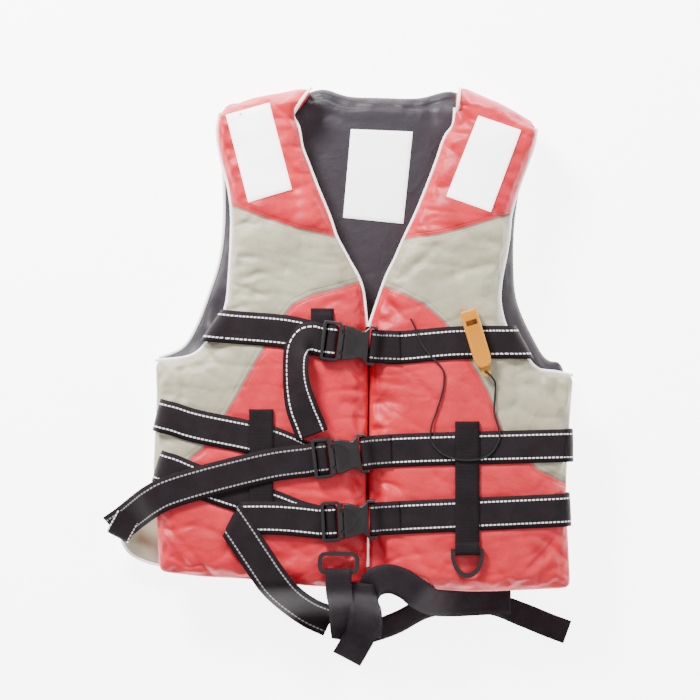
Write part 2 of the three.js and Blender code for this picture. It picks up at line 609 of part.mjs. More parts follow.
const WHISTLE = { x: 139.5, y: -37, z: 88, turn: 16.7, thick: 13 };
const whistleOutline = [[-8.5, 74], [8.5, 74], [10, 72], [10, 16], [8.5, 9], [4.5, 5.5], [-4.5, 5.5],
  [-8.5, 9], [-10, 16], [-10, 72]];
const eye = { r: 2.6, low: 4.6, high: 8.4 };
let whistle = toManifold(cushion(whistleOutline, 0, WHISTLE.thick, 1.6, 0, 2));
const eyeArc = [];
for (let i = 0; i <= 10; i += 1) {
  const a = Math.PI + Math.PI * i / 10;
  eyeArc.push([5.5 * Math.cos(a), 5.5 * Math.sin(a)]);
}
whistle = whistle.add(toManifold(prism([...eyeArc, [5.5, 9], [-5.5, 9]], eye.low, eye.high)));
const eyeHole = new THREE.CylinderGeometry(eye.r, eye.r, 20, 16);
eyeHole.rotateX(Math.PI / 2);
eyeHole.translate(0, 0, 6);
// Air way, window, chamber and the passage between them
whistle = cut(whistle, eyeHole, box(-6.5, 6.5, 50, 80, 4.2, 8.8), box(-6.5, 6.5, 56, 62, 6, 20),
  box(-6.5, 6.5, 20, 46, 3, 10), box(-3, 3, 40, 58, 5, 8));
const whistleGeometry = toGeometry(whistle);
whistleGeometry.rotateZ(THREE.MathUtils.degToRad(WHISTLE.turn));
whistleGeometry.translate(WHISTLE.x, WHISTLE.y, WHISTLE.z);
add('whistle', whistleGeometry, COLOURS.whistle);

// Lanyard: sewn beside the top belt, over both belts and the keeper, down through the whistle's eye
const onPanel = FRONT_TOP + 1.6 + CORD_R;
const onBelt = FRONT_TOP + GAP + WEB_THICK + 0.5 + CORD_R;
const onKeeper = keeperTop + KEEPER_THICK / 2 + 0.5 + CORD_R;
const eyeZ = WHISTLE.z + eye.high;
const lanyard = [[53, 24, onPanel], [56, 18, onBelt + 0.4], [66, -6, onBelt], [77, -20, onBelt],
  [83, -26, onBelt], [91, -38, onPanel], [90, -58, onPanel], [83, -82, onPanel], [77, -99, onBelt + 0.3],
  [76, -116, onBelt], [87, -130, onBelt], [102, -137, onKeeper], [118, -139, onKeeper],
  [134, -137, onKeeper], [147, -129, onBelt], [155, -113, onBelt], [153, -99, onBelt + 0.3],
  [149, -84, onPanel], [150, -62, onPanel], [150, -50, onPanel + 2], [147, -44.5, eyeZ - 1],
  [144.5, -41.5, eyeZ + 1.9], [141.5, -38.5, eyeZ + 2.7], [WHISTLE.x, WHISTLE.y, eyeZ + 1],
  [WHISTLE.x, WHISTLE.y, eyeZ - 2], [WHISTLE.x, WHISTLE.y, eyeZ - 4.4]];
add('whistle_lanyard', tube(lanyard, CORD_R, 78), COLOURS.cord);

// ---------- crotch straps and their ring ----------

const HANGING_WIDTH = 30;
const FLOOR_WIDTH = 28;

const RING = { x: -30, y: -268, z: 91.5, bar: 2.2 };
const ringRounded = (hx, y0, y1, r) => {
  const points = [];
  for (const [cx, cy, start] of [[hx - r, y0 + r, -90], [hx - r, y1 - r, 0], [-hx + r, y1 - r, 90],
    [-hx + r, y0 + r, 180]]) {
    for (let i = 0; i <= 4; i += 1) {
      const a = THREE.MathUtils.degToRad(start + 90 * i / 4);
      points.push([cx + r * Math.cos(a), cy + r * Math.sin(a)]);
    }
  }
  return points;
};
const ringGeometry = prism(ringRounded(24, -RING.bar, 24, 9), -RING.bar, RING.bar,
  [ringRounded(19, RING.bar, 19.5, 5).reverse()]);
ringGeometry.translate(RING.x, RING.y, RING.z);
add('crotch_ring', ringGeometry, COLOURS.plastic);

// Hanging strap: loops the ring's lower bar, then hangs over the hem to the floor
const clear = RING.bar * 1.42 + GAP + WEB_THICK / 2;
const hanging = [[RING.x, -284, RING.z - clear - 0.4, 90], [RING.x, RING.y + 2, RING.z - clear, 90],
  [RING.x, RING.y + clear, RING.z - 1.5, 90], [RING.x, RING.y + clear, RING.z + 1.5, 90],
  [RING.x, RING.y + 1.5, RING.z + clear, 90], [RING.x, RING.y - 8, RING.z + clear, 90],
  [-29, -290, 93, 90], [-27, -297, 82, 89], [-25, -303, 58, 87], [-22, -312, 34, 84], [-18, -332, 17, 80],
  [-12, -352, 12, 74], [-8, -372, 9, 68]];
add('crotch_strap_hanging', strap(hanging, HANGING_WIDTH, WEB_THICK), COLOURS.webbing);

// Strap that comes out of the bundle, arcs over the hem and lies along it
const alongHem = route([[6, -340, 10, 70], [9, -320, 22, 62], [13, -309, 52, 58], [18, -301, 80, 52],
  [26, -284, 91, 30], [42, -282, 90.5, -18], [62, -296, 88, -36], [78, -310, 60, -28],
  [100, -313, 30, -8], [140, -311, 16, 0], [171, -311, 10, 0]], 26);
add('crotch_strap_upper', strap(alongHem, CROTCH_WIDTH, WEB_THICK), COLOURS.webbing);

// Second strap lies on the floor below the first
const onFloor = route([[10, -345, 5, -10], [60, -338, 4, 8], [110, -327, 4, 3], [160, -326, 4, -6],
  [232, -342, 4, -16]], 14);
add('crotch_strap_lower', strap(onFloor, FLOOR_WIDTH, WEB_THICK), COLOURS.webbing);

export default group;
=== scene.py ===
"""Looks of a buckled life jacket lying on its back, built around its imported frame. Lengths in metres."""

import logging
import math
from dataclasses import dataclass, field
from enum import Enum
from typing import Callable

import bmesh
import bpy
import numpy as np
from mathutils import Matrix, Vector, noise
from mathutils.bvhtree import BVHTree


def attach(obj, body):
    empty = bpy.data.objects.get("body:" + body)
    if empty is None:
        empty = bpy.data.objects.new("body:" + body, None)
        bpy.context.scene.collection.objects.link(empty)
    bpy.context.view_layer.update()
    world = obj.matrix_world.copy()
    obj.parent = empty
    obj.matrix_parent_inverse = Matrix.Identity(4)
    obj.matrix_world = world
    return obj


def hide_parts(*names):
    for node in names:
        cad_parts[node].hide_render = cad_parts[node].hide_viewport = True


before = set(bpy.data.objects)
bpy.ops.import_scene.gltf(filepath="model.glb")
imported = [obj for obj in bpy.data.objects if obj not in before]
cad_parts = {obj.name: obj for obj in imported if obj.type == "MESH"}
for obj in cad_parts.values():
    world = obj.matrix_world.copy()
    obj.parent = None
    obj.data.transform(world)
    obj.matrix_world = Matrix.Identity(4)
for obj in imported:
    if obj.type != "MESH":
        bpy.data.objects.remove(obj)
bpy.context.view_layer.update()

logging.basicConfig(level=logging.INFO, format="%(message)s")
LOG = logging.getLogger("life_jacket")

MM = 0.001
FRONT_BASE = 0.045
FRONT_TOP = 0.085
BUCKLE_Z = 0.089
TAIL_Z = 0.0899
BELT_Z = 0.08615
BELT_WIDTH = 0.038
WEB_THICK = 0.0015
SHOULDER_DEPTH = 0.013
BACK_SEAM = 0.0235
PIPING = 0.0018
CORD = 0.0022
VOXEL = 0.0042
RIM_WIDTH = 0.006
PUFF_FRAMES = 16
PUFF_PRESSURE = 4
PUFF_LIMIT = 0.007
TINY = 1e-9
SEAM_DEPTH = 0.0032
SEAM_WIDTH = 0.006
BELT_LEVEL = 0.0849
FRONT_SOFT_TOP = 0.0815
FRONT_SOFT_ROOM = 0.0043
BACK_SOFT_TOP = 0.034
BACK_SOFT_ROOM = 0.0038
STRAP_STEP = 0.0028
STRAP_COLUMNS = 6
LENS = 190.0
VIEW_SPAN = 0.805

Point = tuple[float, float]
Station = tuple[float, ...]


class Side(Enum):
    """Which half of the jacket, as seen from above."""

    LEFT = "left"
    RIGHT = "right"


class Tracer(Enum):
    """How strongly the white tracer yarns show on a strap's face."""

    NONE = 0.0
    FAINT = 0.35
    BRIGHT = 1.0


# ---------------------------------------------------------------- node helpers


@dataclass
class Graph:
    """Short hand for building one node tree.

    Args:
        tree: the node tree that is filled.
    """

    tree: bpy.types.NodeTree

    def add(self, kind: str, inputs: dict | None = None, **props) -> bpy.types.Node:
        """Adds a node.

        Args:
            kind: the node's type name.
            inputs: socket name or index to a value or another node's socket.
            props: plain properties of the node.

        Returns:
            The new node.
        """
        node = self.tree.nodes.new(kind)
        for key, value in props.items():
            setattr(node, key, value)
        for key, value in (inputs or {}).items():
            if isinstance(value, bpy.types.NodeSocket):
                self.tree.links.new(value, node.inputs[key])
            else:
                node.inputs[key].default_value = value
        return node

    def math(self, operation: str, a, b=0.0, clamp: bool = False) -> bpy.types.NodeSocket:
        """Adds a Math node.

        Args:
            operation: the operation's name.
            a: first value or socket.
            b: second value or socket.
            clamp: whether the result is kept between 0 and 1.

        Returns:
            The result's socket.
        """
        return self.add("ShaderNodeMath", {0: a, 1: b}, operation=operation, use_clamp=clamp).outputs[0]

    def invert(self, a, clamp: bool = False) -> bpy.types.NodeSocket:
        """Takes a value from one.

        Args:
            a: value or socket.
            clamp: whether the result is kept between 0 and 1.

        Returns:
            The result's socket.
        """
        return self.math("SUBTRACT", 1.0, a, clamp)

    def mix(self, factor, a, b, blend: str = "MIX") -> bpy.types.NodeSocket:
        """Mixes two colours.

        Args:
            factor: share of the second colour.
            a: first colour or socket.
            b: second colour or socket.
            blend: how the second colour acts on the first.

        Returns:
            The mixed colour's socket.
        """
        node = self.add("ShaderNodeMix", data_type="RGBA", blend_type=blend)
        for index, value in ((0, factor), (6, a), (7, b)):
            if isinstance(value, bpy.types.NodeSocket):
                self.tree.links.new(value, node.inputs[index])
            else:
                node.inputs[index].default_value = value
        return node.outputs[2]

    def step(self, value, low: float, high: float) -> bpy.types.NodeSocket:
        """Maps low..high to 0..1, clamped.

        Args:
            value: the socket that is mapped.
            low: value that gives 0.
            high: value that gives 1.

        Returns:
            The mapped value's socket.
        """
        return self.add("ShaderNodeMapRange", {0: value, 1: low, 2: high}, clamp=True).outputs[0]


class Effects:
    """Shared node groups, each built once."""

    _made: dict[str, bpy.types.NodeTree] = {}

    @classmethod
    def cloth(cls) -> bpy.types.NodeTree:
        """Fine plain weave with soft colour variation.

        Returns:
            A group with outputs Height, Tone and Dust.
        """
        if "cloth" in cls._made:
            return cls._made["cloth"]
        tree = bpy.data.node_groups.new("plain_cloth", "ShaderNodeTree")
        tree.interface.new_socket("Pitch", in_out="INPUT", socket_type="NodeSocketFloat")
        for name in ("Height", "Tone", "Dust"):
            tree.interface.new_socket(name, in_out="OUTPUT", socket_type="NodeSocketFloat")
        g = Graph(tree)
        inp = g.add("NodeGroupInput")
        place = g.add("ShaderNodeTexCoord").outputs["Object"]
        waves = []
        for axis in ("X", "Y"):
            wave = g.add("ShaderNodeTexWave", {"Vector": place, "Scale": inp.outputs["Pitch"], "Distortion": 0.4,
                                               "Detail": 1.0}, wave_type="BANDS", bands_direction=axis)
            waves.append(wave.outputs["Fac"])
        broad = g.add("ShaderNodeTexNoise", {"Vector": place, "Scale": 9.0, "Detail": 4.0})
        fine = g.add("ShaderNodeTexNoise", {"Vector": place, "Scale": 160.0, "Detail": 2.0})
        out = g.add("NodeGroupOutput")
        tree.links.new(g.math("MULTIPLY", waves[0], waves[1]), out.inputs["Height"])
        tree.links.new(g.step(broad.outputs["Fac"], 0.3, 0.7), out.inputs["Tone"])
        tree.links.new(g.step(fine.outputs["Fac"], 0.45, 0.75), out.inputs["Dust"])
        cls._made["cloth"] = tree
        return tree

    @classmethod
    def webbing(cls) -> bpy.types.NodeTree:
        """Ribbed weave and two dashed tracer yarns, from the strap's own map in metres.

        Returns:
            A group with outputs Height, Yarn and Tone.
        """
        if "webbing" in cls._made:
            return cls._made["webbing"]
        tree = bpy.data.node_groups.new("woven_strap", "ShaderNodeTree")
        tree.interface.new_socket("Yarn Place", in_out="INPUT", socket_type="NodeSocketFloat")
        for name in ("Height", "Yarn", "Tone"):
            tree.interface.new_socket(name, in_out="OUTPUT", socket_type="NodeSocketFloat")
        g = Graph(tree)
        inp = g.add("NodeGroupInput")
        uv = g.add("ShaderNodeUVMap", uv_map="strap")
        parts = g.add("ShaderNodeSeparateXYZ", {0: uv.outputs[0]})
        across, along = parts.outputs[0], parts.outputs[1]
        ribs = g.math("SINE", g.math("MULTIPLY", along, 2 * math.pi / 0.0016))
        slant = g.math("ADD", along, g.math("MULTIPLY", g.math("ABSOLUTE", across), 0.8))
        twill = g.math("SINE", g.math("MULTIPLY", slant, 2 * math.pi / 0.0034))
        wales = g.math("SINE", g.math("MULTIPLY", across, 2 * math.pi / 0.0011))
        height = g.math("ADD", g.math("MULTIPLY", ribs, 0.3), g.math("MULTIPLY", g.math("ADD", twill, wales), 0.2))
        off = g.math("SUBTRACT", g.math("ABSOLUTE", across), inp.outputs["Yarn Place"])
        line = g.invert(g.step(g.math("ABSOLUTE", off), 0.0006, 0.001), True)
        phase = g.math("FRACT", g.math("MULTIPLY", along, 1 / 0.0046))
        dash = g.math("MULTIPLY", g.step(phase, 0.12, 0.2), g.invert(g.step(phase, 0.8, 0.88)))
        place = g.add("ShaderNodeTexCoord").outputs["Object"]
        tone = g.add("ShaderNodeTexNoise", {"Vector": place, "Scale": 45.0, "Detail": 4.0})
        out = g.add("NodeGroupOutput")
        tree.links.new(height, out.inputs["Height"])
        tree.links.new(g.math("MULTIPLY", line, dash), out.inputs["Yarn"])
        tree.links.new(g.step(tone.outputs["Fac"], 0.3, 0.7), out.inputs["Tone"])
        cls._made["webbing"] = tree
        return tree


@dataclass(frozen=True)
class Finish:
    """Base of a surface finish.

    Args:
        name: the material's name.
        roughness: the surface's roughness.
    """

    name: str
    roughness: float = 0.6

    def start(self) -> tuple[bpy.types.Material, Graph, bpy.types.Node]:
        """Makes the material with its surface shader.

        Returns:
            The material, its graph and its main shader node.
        """
        material = bpy.data.materials.new(self.name)
        material.use_nodes = True
        g = Graph(material.node_tree)
        shader = material.node_tree.nodes["Principled BSDF"]
        shader.inputs["Roughness"].default_value = self.roughness
        return material, g, shader

    @staticmethod
    def bump(g: Graph, shader: bpy.types.Node, height, strength: float, distance: float) -> None:
        """Adds a bump to the shader.

        Args:
            g: the material's graph.
            shader: the surface shader.
            height: the height's socket.
            strength: bump strength.
            distance: bump distance in metres.
        """
        node = g.add("ShaderNodeBump", {"Height": height, "Strength": strength, "Distance": distance})
        g.tree.links.new(node.outputs[0], shader.inputs["Normal"])


@dataclass(frozen=True)
class PanelFinish(Finish):
    """Nylon shell whose fabrics change at the seams, with welts and stitching, and painted shade along its creases.

    Args:
        upper: colour above the upper seam and below the lower seam.
        middle: colour between the seams.
        inner: colour of the lining.
    """

    upper: tuple = (0.64, 0.0, 0.018, 1)
    middle: tuple = (0.39, 0.37, 0.25, 1)
    inner: tuple = (0.012, 0.0085, 0.016, 1)

    def build(self) -> bpy.types.Material:
        """Builds the material.

        Returns:
            The material.
        """
        material, g, shader = self.start()
        cloth = g.add("ShaderNodeGroup", {"Pitch": 260.0}, node_tree=Effects.cloth())
        zones = {n: g.add("ShaderNodeAttribute", attribute_name=n).outputs["Fac"]
                 for n in ("upper_seam", "lower_seam", "inside")}
        is_upper = g.step(zones["upper_seam"], -0.0003, 0.0003)
        is_lower = g.invert(g.step(zones["lower_seam"], -0.0003, 0.0003))
        red = g.math("MAXIMUM", is_upper, is_lower, True)
        colour = g.mix(red, self.middle, self.upper)
        welt = g.math("MINIMUM", g.math("ABSOLUTE", zones["upper_seam"]), g.math("ABSOLUTE", zones["lower_seam"]))
        welt_mask = g.invert(g.step(welt, 0.0009, 0.0016))
        colour = g.mix(g.math("MULTIPLY", welt_mask, 0.8), colour, (0.16, 0.15, 0.11, 1))
        colour = g.mix(zones["inside"], colour, self.inner)
        outer_share = g.math("SUBTRACT", 0.05, g.math("MULTIPLY", zones["inside"], 0.04))
        worn = g.math("MULTIPLY", cloth.outputs["Tone"], outer_share)
        colour = g.mix(worn, colour, (0.75, 0.25, 0.16, 1))
        colour = g.mix(g.math("MULTIPLY", cloth.outputs["Dust"], 0.06), colour, (0.02, 0.02, 0.02, 1))
        place = g.add("ShaderNodeTexCoord").outputs["Object"]
        folds = []
        for scale, pull, sharp in ((10.0, 0.4, 5.0), (27.0, 0.4, 4.0)):
            noise_node = g.add("ShaderNodeTexNoise", {"Scale": scale, "Detail": 3.0, "Distortion": pull,
                                                      "Vector": place})
            off = g.math("ABSOLUTE", g.math("SUBTRACT", noise_node.outputs["Fac"], 0.5))
            folds.append(g.invert(g.math("MULTIPLY", off, sharp), True))
        both = g.math("ADD", g.math("MULTIPLY", folds[0], 0.75), g.math("MULTIPLY", folds[1], 0.25))
        # Painted shade: the colour is darkened along the noise fold lines, standing in for the shade that falls in
        # the creases.
        painted_crease_shade = g.math("MULTIPLY", g.math("POWER", both, 2.0), 0.4)
        colour = g.mix(painted_crease_shade, colour, (0.42, 0.42, 0.45, 1), "MULTIPLY")
        g.tree.links.new(colour, shader.inputs["Base Color"])
        stitch = g.invert(g.step(g.math("ABSOLUTE", g.math("SUBTRACT", welt, 0.0045)), 0.0, 0.0008))
        crumple = g.add("ShaderNodeTexNoise", {"Scale": 75.0, "Detail": 4.0, "Vector": place})
        height = g.math("ADD", g.math("ADD", g.math("MULTIPLY", folds[0], 1.0), g.math("MULTIPLY", folds[1], 0.4)),
                        g.math("MULTIPLY", crumple.outputs["Fac"], 0.35))
        height = g.math("ADD", g.math("MULTIPLY", cloth.outputs["Height"], 0.03),
                        g.math("SUBTRACT", height, g.math("MULTIPLY", stitch, 0.3)))
        quiet = g.invert(g.math("MULTIPLY", zones["inside"], 0.5))
        self.bump(g, shader, g.math("MULTIPLY", height, quiet), 0.42, 0.0034)
        return material


@dataclass(frozen=True)
class StrapFinish(Finish):
    """Black webbing, with painted highlight on the raised ribs of its weave.

    Args:
        base: yarn colour.
        tracer: how strongly the white yarns show.
        yarn_place: distance of the white yarns from the middle, in metres.
    """

    base: tuple = (0.0042, 0.0026, 0.0034, 1)
    tracer: Tracer = Tracer.NONE
    yarn_place: float = 0.0133

    def build(self) -> bpy.types.Material:
        """Builds the material.

        Returns:
            The material.
        """
        material, g, shader = self.start()
        weave = g.add("ShaderNodeGroup", {"Yarn Place": self.yarn_place}, node_tree=Effects.webbing())
        light = tuple(5.0 * c for c in self.base[:3]) + (1,)
        shader.inputs["Specular IOR Level"].default_value = 0.16
        colour = g.mix(g.math("MULTIPLY", weave.outputs["Tone"], 0.45), self.base, light)
        # Painted highlight: the raised ribs of the weave are coloured lighter, as if they caught the light; the
        # noise-driven tone above is the yarn's own random tone.
        shade = g.step(weave.outputs["Height"], -0.7, 0.7)
        colour = g.mix(g.math("MULTIPLY", shade, 0.35), colour, light)
        if self.tracer is not Tracer.NONE:
            share = g.math("MULTIPLY", weave.outputs["Yarn"], self.tracer.value)
            colour = g.mix(share, colour, (0.86, 0.86, 0.87, 1))
        g.tree.links.new(colour, shader.inputs["Base Color"])
        self.bump(g, shader, weave.outputs["Height"], 0.6, 0.0005)
        return material


@dataclass(frozen=True)
class TrimFinish(Finish):
    """Plain coloured cloth, tape or cord.

    Args:
        base: the colour.
        pitch: weave pitch; a larger number is finer.
        relief: bump strength.
        painted_glow: strength of painted light that the piece gives off as if it were a lamp, standing in for the
            bright light sent back by tape, label and piping.
    """

    base: tuple = (0.85, 0.85, 0.84, 1)
    pitch: float = 420.0
    relief: float = 0.25
    painted_glow: float = 0.0

    def build(self) -> bpy.types.Material:
        """Builds the material.

        Returns:
            The material.
        """
        material, g, shader = self.start()
        cloth = g.add("ShaderNodeGroup", {"Pitch": self.pitch}, node_tree=Effects.cloth())
        dark = tuple(0.86 * c for c in self.base[:3]) + (1,)
        colour = g.mix(g.math("MULTIPLY", cloth.outputs["Tone"], 0.6), self.base, dark)
        g.tree.links.new(colour, shader.inputs["Base Color"])
        self.bump(g, shader, cloth.outputs["Height"], self.relief, 0.0004)
        # Painted light: this emission makes tape, label and piping give off light of their own, though they are no
        # lamps.
        shader.inputs["Emission Color"].default_value = self.base
        shader.inputs["Emission Strength"].default_value = self.painted_glow
        return material


@dataclass(frozen=True)
class PlasticFinish(Finish):
    """Moulded plastic with a fine grain, faint scuffs and slightly worn edges.

    Args:
        base: the colour.
        worn: colour of scuffs and edges.
    """

    base: tuple = (0.0036, 0.0026, 0.0031, 1)
    worn: tuple = (0.022, 0.018, 0.02, 1)

    def build(self) -> bpy.types.Material:
        """Builds the material.

        Returns:
            The material.
        """
        material, g, shader = self.start()
        place = g.add("ShaderNodeTexCoord").outputs["Object"]
        grain = g.add("ShaderNodeTexNoise", {"Vector": place, "Scale": 1400.0, "Detail": 2.0})
        scuff = g.add("ShaderNodeTexNoise", {"Vector": place, "Scale": 70.0, "Detail": 6.0, "Distortion": 1.5})
        point = g.add("ShaderNodeNewGeometry").outputs["Pointiness"]
        edge = g.step(point, 0.505, 0.56)
        worn = g.math("ADD", g.math("MULTIPLY", edge, 0.35),
                      g.math("MULTIPLY", g.step(scuff.outputs["Fac"], 0.58, 0.75), 0.25), True)
        g.tree.links.new(g.mix(worn, self.base, self.worn), shader.inputs["Base Color"])
        rough = g.add("ShaderNodeMapRange", {0: scuff.outputs["Fac"], 3: self.roughness - 0.06,
                                             4: self.roughness + 0.12})
        g.tree.links.new(rough.outputs[0], shader.inputs["Roughness"])
        self.bump(g, shader, grain.outputs["Fac"], 0.15, 0.0002)
        return material


class Wardrobe:
    """All finishes, each built once on first use."""

    _finishes: dict[str, Finish] = {
        "panel": PanelFinish("nylon_panel", 0.5),
        "belt_bright": StrapFinish("webbing_bright", 0.72, tracer=Tracer.BRIGHT),
        "belt_faint": StrapFinish("webbing_faint", 0.78, tracer=Tracer.FAINT),
        "belt_plain": StrapFinish("webbing_plain", 0.75, base=(0.0062, 0.0042, 0.0056, 1)),
        "keeper": StrapFinish("webbing_keeper", 0.8, base=(0.0036, 0.0024, 0.003, 1)),
        # Piping, patch and label below carry painted light: their emission makes them brighter than their lit colour.
        "piping": TrimFinish("white_piping", 0.55, painted_glow=0.8),
        "patch": TrimFinish("reflective_patch", 0.38, base=(0.93, 0.93, 0.93, 1), pitch=900.0, relief=0.35, painted_glow=3.2),
        "label": TrimFinish("woven_label", 0.6, base=(0.9, 0.9, 0.89, 1), pitch=700.0, painted_glow=2.4),
        "cord": TrimFinish("braided_cord", 0.7, base=(0.005, 0.0045, 0.005, 1), pitch=900.0, relief=0.8),
        "plastic": PlasticFinish("black_plastic", 0.34),
        "whistle": PlasticFinish("orange_plastic", 0.36, base=(0.5, 0.17, 0.0, 1), worn=(0.7, 0.3, 0.01, 1)),
    }
    _built: dict[str, bpy.types.Material] = {}

    @classmethod
    def get(cls, key: str) -> bpy.types.Material:
        """Finds or builds a finish.

        Args:
            key: the finish's key.

        Returns:
            Its material.
        """
        if key not in cls._built:
            cls._built[key] = cls._finishes[key].build()
        return cls._built[key]


# ---------------------------------------------------------------- geometry helpers


def catmull(points: list[tuple], count: int) -> np.ndarray:
    """Smooth run through given points, evenly spread by chord length.

    Args:
        points: the points, of any dimension.
        count: number of samples.

    Returns:
        Array of samples.
    """
    p = np.array(points, float)
    p = np.vstack([2 * p[0] - p[1], p, 2 * p[-1] - p[-2]])
    lengths = np.linalg.norm(p[2:-1, :3] - p[1:-2, :3], axis=1)
    reach = np.concatenate([[0], np.cumsum(lengths)])
    rows = []
    for s in np.linspace(0, reach[-1], count):
        i = min(int(np.searchsorted(reach, s, side="right")) - 1, len(lengths) - 1)
        t = (s - reach[i]) / max(lengths[i], 1e-9)
        a, b, c, d = p[i], p[i + 1], p[i + 2], p[i + 3]
        rows.append(0.5 * (2 * b + (c - a) * t + (2 * a - 5 * b + 4 * c - d) * t * t
                           + (3 * b - a - 3 * c + d) * t ** 3))
    return np.array(rows)


def soft_top(z: np.ndarray, level: float, room: float) -> np.ndarray:
    """Bends heights over a level so that they stay below a ceiling.

    Args:
        z: the heights.
        level: where the bending starts.
        room: how far above it the ceiling lies.

    Returns:
        The new heights.
    """
    return np.where(z > level, level + room * np.tanh((z - level) / room), z)


def outline(*runs: list[Point]) -> np.ndarray:
    """Joins smoothed runs, given in millimetres, into one outline in metres.

    Args:
        runs: the runs in order.

    Returns:
        Array of points.
    """
    return np.vstack([catmull(r, max(2, 4 * len(r))) if len(r) > 2 else np.array(r, float) for r in runs]) * MM


def distance_to(points: np.ndarray, line: np.ndarray, closed: bool = False) -> np.ndarray:
    """Distance in plan from points to a polyline.

    Args:
        points: array of x, y.
        line: the polyline.
        closed: whether it closes on itself.

    Returns:
        Array of distances.
    """
    ends = np.roll(line, -1, axis=0) if closed else line[1:]
    starts = line if closed else line[:-1]
    best = np.full(len(points), 1e9)
    for a, b in zip(starts, ends):
        ab = b - a
        t = np.clip(((points - a) @ ab) / max(ab @ ab, 1e-12), 0, 1)
        best = np.minimum(best, np.linalg.norm(points - a - t[:, None] * ab, axis=1))
    return best


def height_over(points: np.ndarray, line: np.ndarray) -> np.ndarray:
    """Signed distance to a seam that runs from left to right, positive above it.

    Args:
        points: array of x, y.
        line: the seam's points with rising x.

    Returns:
        Array of signed distances.
    """
    y = np.interp(points[:, 0], line[:, 0], line[:, 1])
    return np.where(points[:, 1] > y, 1, -1) * distance_to(points, line)


def read(mesh: bpy.types.Mesh) -> np.ndarray:
    """Reads a mesh's points.

    Args:
        mesh: the mesh.

    Returns:
        Array of points.
    """
    co = np.zeros(len(mesh.vertices) * 3)
    mesh.vertices.foreach_get("co", co)
    return co.reshape(-1, 3)


def write(mesh: bpy.types.Mesh, co: np.ndarray) -> None:
    """Writes a mesh's points.

    Args:
        mesh: the mesh.
        co: array of points.
    """
    mesh.vertices.foreach_set("co", co.ravel())
    mesh.update()


def make_object(name: str, bm: bmesh.types.BMesh, *materials: str) -> bpy.types.Object:
    """Turns a bmesh into a linked object with smooth faces.

    Args:
        name: the object's name.
        bm: the bmesh, which is freed.
        materials: keys of its finishes.

    Returns:
        The object.
    """
    mesh = bpy.data.meshes.new(name)
    bm.to_mesh(mesh)
    bm.free()
    mesh.shade_smooth()
    for key in materials:
        mesh.materials.append(Wardrobe.get(key))
    obj = bpy.data.objects.new(name, mesh)
    bpy.context.scene.collection.objects.link(obj)
    return obj


def bake(obj: bpy.types.Object) -> None:
    """Applies an object's modifiers.

    Args:
        obj: the object.
    """
    bpy.context.view_layer.update()
    shaped = bpy.data.meshes.new_from_object(obj.evaluated_get(bpy.context.evaluated_depsgraph_get()))
    obj.modifiers.clear()
    old = obj.data
    obj.data = shaped
    shaped.name = obj.name
    bpy.data.meshes.remove(old)
    shaped.shade_smooth()


def settle(obj: bpy.types.Object, body: str, slot: str, *nodes: str) -> bpy.types.Object:
    """Hands a finished piece to the frame.

    Args:
        obj: the piece.
        body: the CAD body it rides on.
        slot: not used.
        nodes: the CAD nodes it stands for.

    Returns:
        The piece.
    """
    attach(obj, body)
    if nodes:
        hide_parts(*nodes)
    LOG.info("piece %s on %s, %d faces", obj.name, body, len(obj.data.polygons) if obj.type == "MESH" else 0)
    return obj


def ripple(points: np.ndarray, scale: tuple[float, float, float], seed: float) -> np.ndarray:
    """Smooth noise at points.

    Args:
        points: array of points.
        scale: stretch along each axis.
        seed: offset that picks the pattern.

    Returns:
        Array of values about -1 to 1.
    """
    return np.array([noise.noise((p[0] * scale[0] + seed, p[1] * scale[1] - seed, p[2] * scale[2])) for p in points])


# ---------------------------------------------------------------- outlines, in millimetres

NECK_LEFT = [(2, 15), (-4, 62), (-20, 94), (-33, 119), (-41, 142), (-55, 176), (-67, 207), (-73, 223), (-77, 245),
             (-83, 257), (-84, 266)]
ARM_LEFT = [(-167, 262), (-170, 240), (-166, 212), (-156, 172), (-153, 134), (-156, 70), (-161, 34), (-178, 2),
            (-200, -19), (-242, -25)]
SIDE_LEFT = [(-242, -25), (-240, -70), (-243, -120), (-244, -168), (-240, -210), (-238, -267)]
HEM_LEFT = [(-238, -268), (-187, -274), (-133, -277), (-60, -285), (2, -286)]
CENTRE_LEFT = [(2, -286), (3.4, -230), (2, -180), (3.6, -104), (4.2, -30), (2, 15)]
HEM_RIGHT = [(5.5, -287), (68, -288), (120, -291), (171, -290), (238, -287)]
SIDE_RIGHT = [(238, -286), (235, -230), (233, -169), (237, -94), (241, -42)]
ARM_RIGHT = [(241, -42), (221, -38), (199, -34), (183, -15), (164, 12), (156, 40), (157, 69), (165, 112),
             (169, 148), (180, 183), (186, 199), (195, 225), (198, 244)]
NECK_RIGHT = [(105, 268), (103, 248), (93, 233), (81, 199), (62, 151), (46, 117), (35, 92), (24, 69), (5.5, 15)]
CENTRE_RIGHT = [(5, 15), (5.6, -30), (5, -104), (4.2, -161), (5, -184), (4.6, -230), (5, -287)]
COLLAR = [(110, 288), (100, 291), (85, 288), (62, 282), (17, 283), (-17, 284), (-34, 289), (-48, 294), (-62, 290)]
BACK_ARM_LEFT = [(-170, 258), (-166, 225), (-163, 150), (-168, 95), (-182, 50), (-196, 14), (-212, -10), (-240, -22)]
FLAP = [(-243, -60), (-245, -130), (-250, -186), (-270, -208), (-283, -226), (-276, -246), (-256, -258), (-236, -263)]
BACK_HEM = [(-236, -263), (-60, -270), (100, -276), (232, -279)]
BACK_RIGHT = [(232, -277), (230, -160), (234, -36), (214, -26), (199, -2), (182, 33), (175, 63), (175, 132),
              (184, 190), (196, 240)]
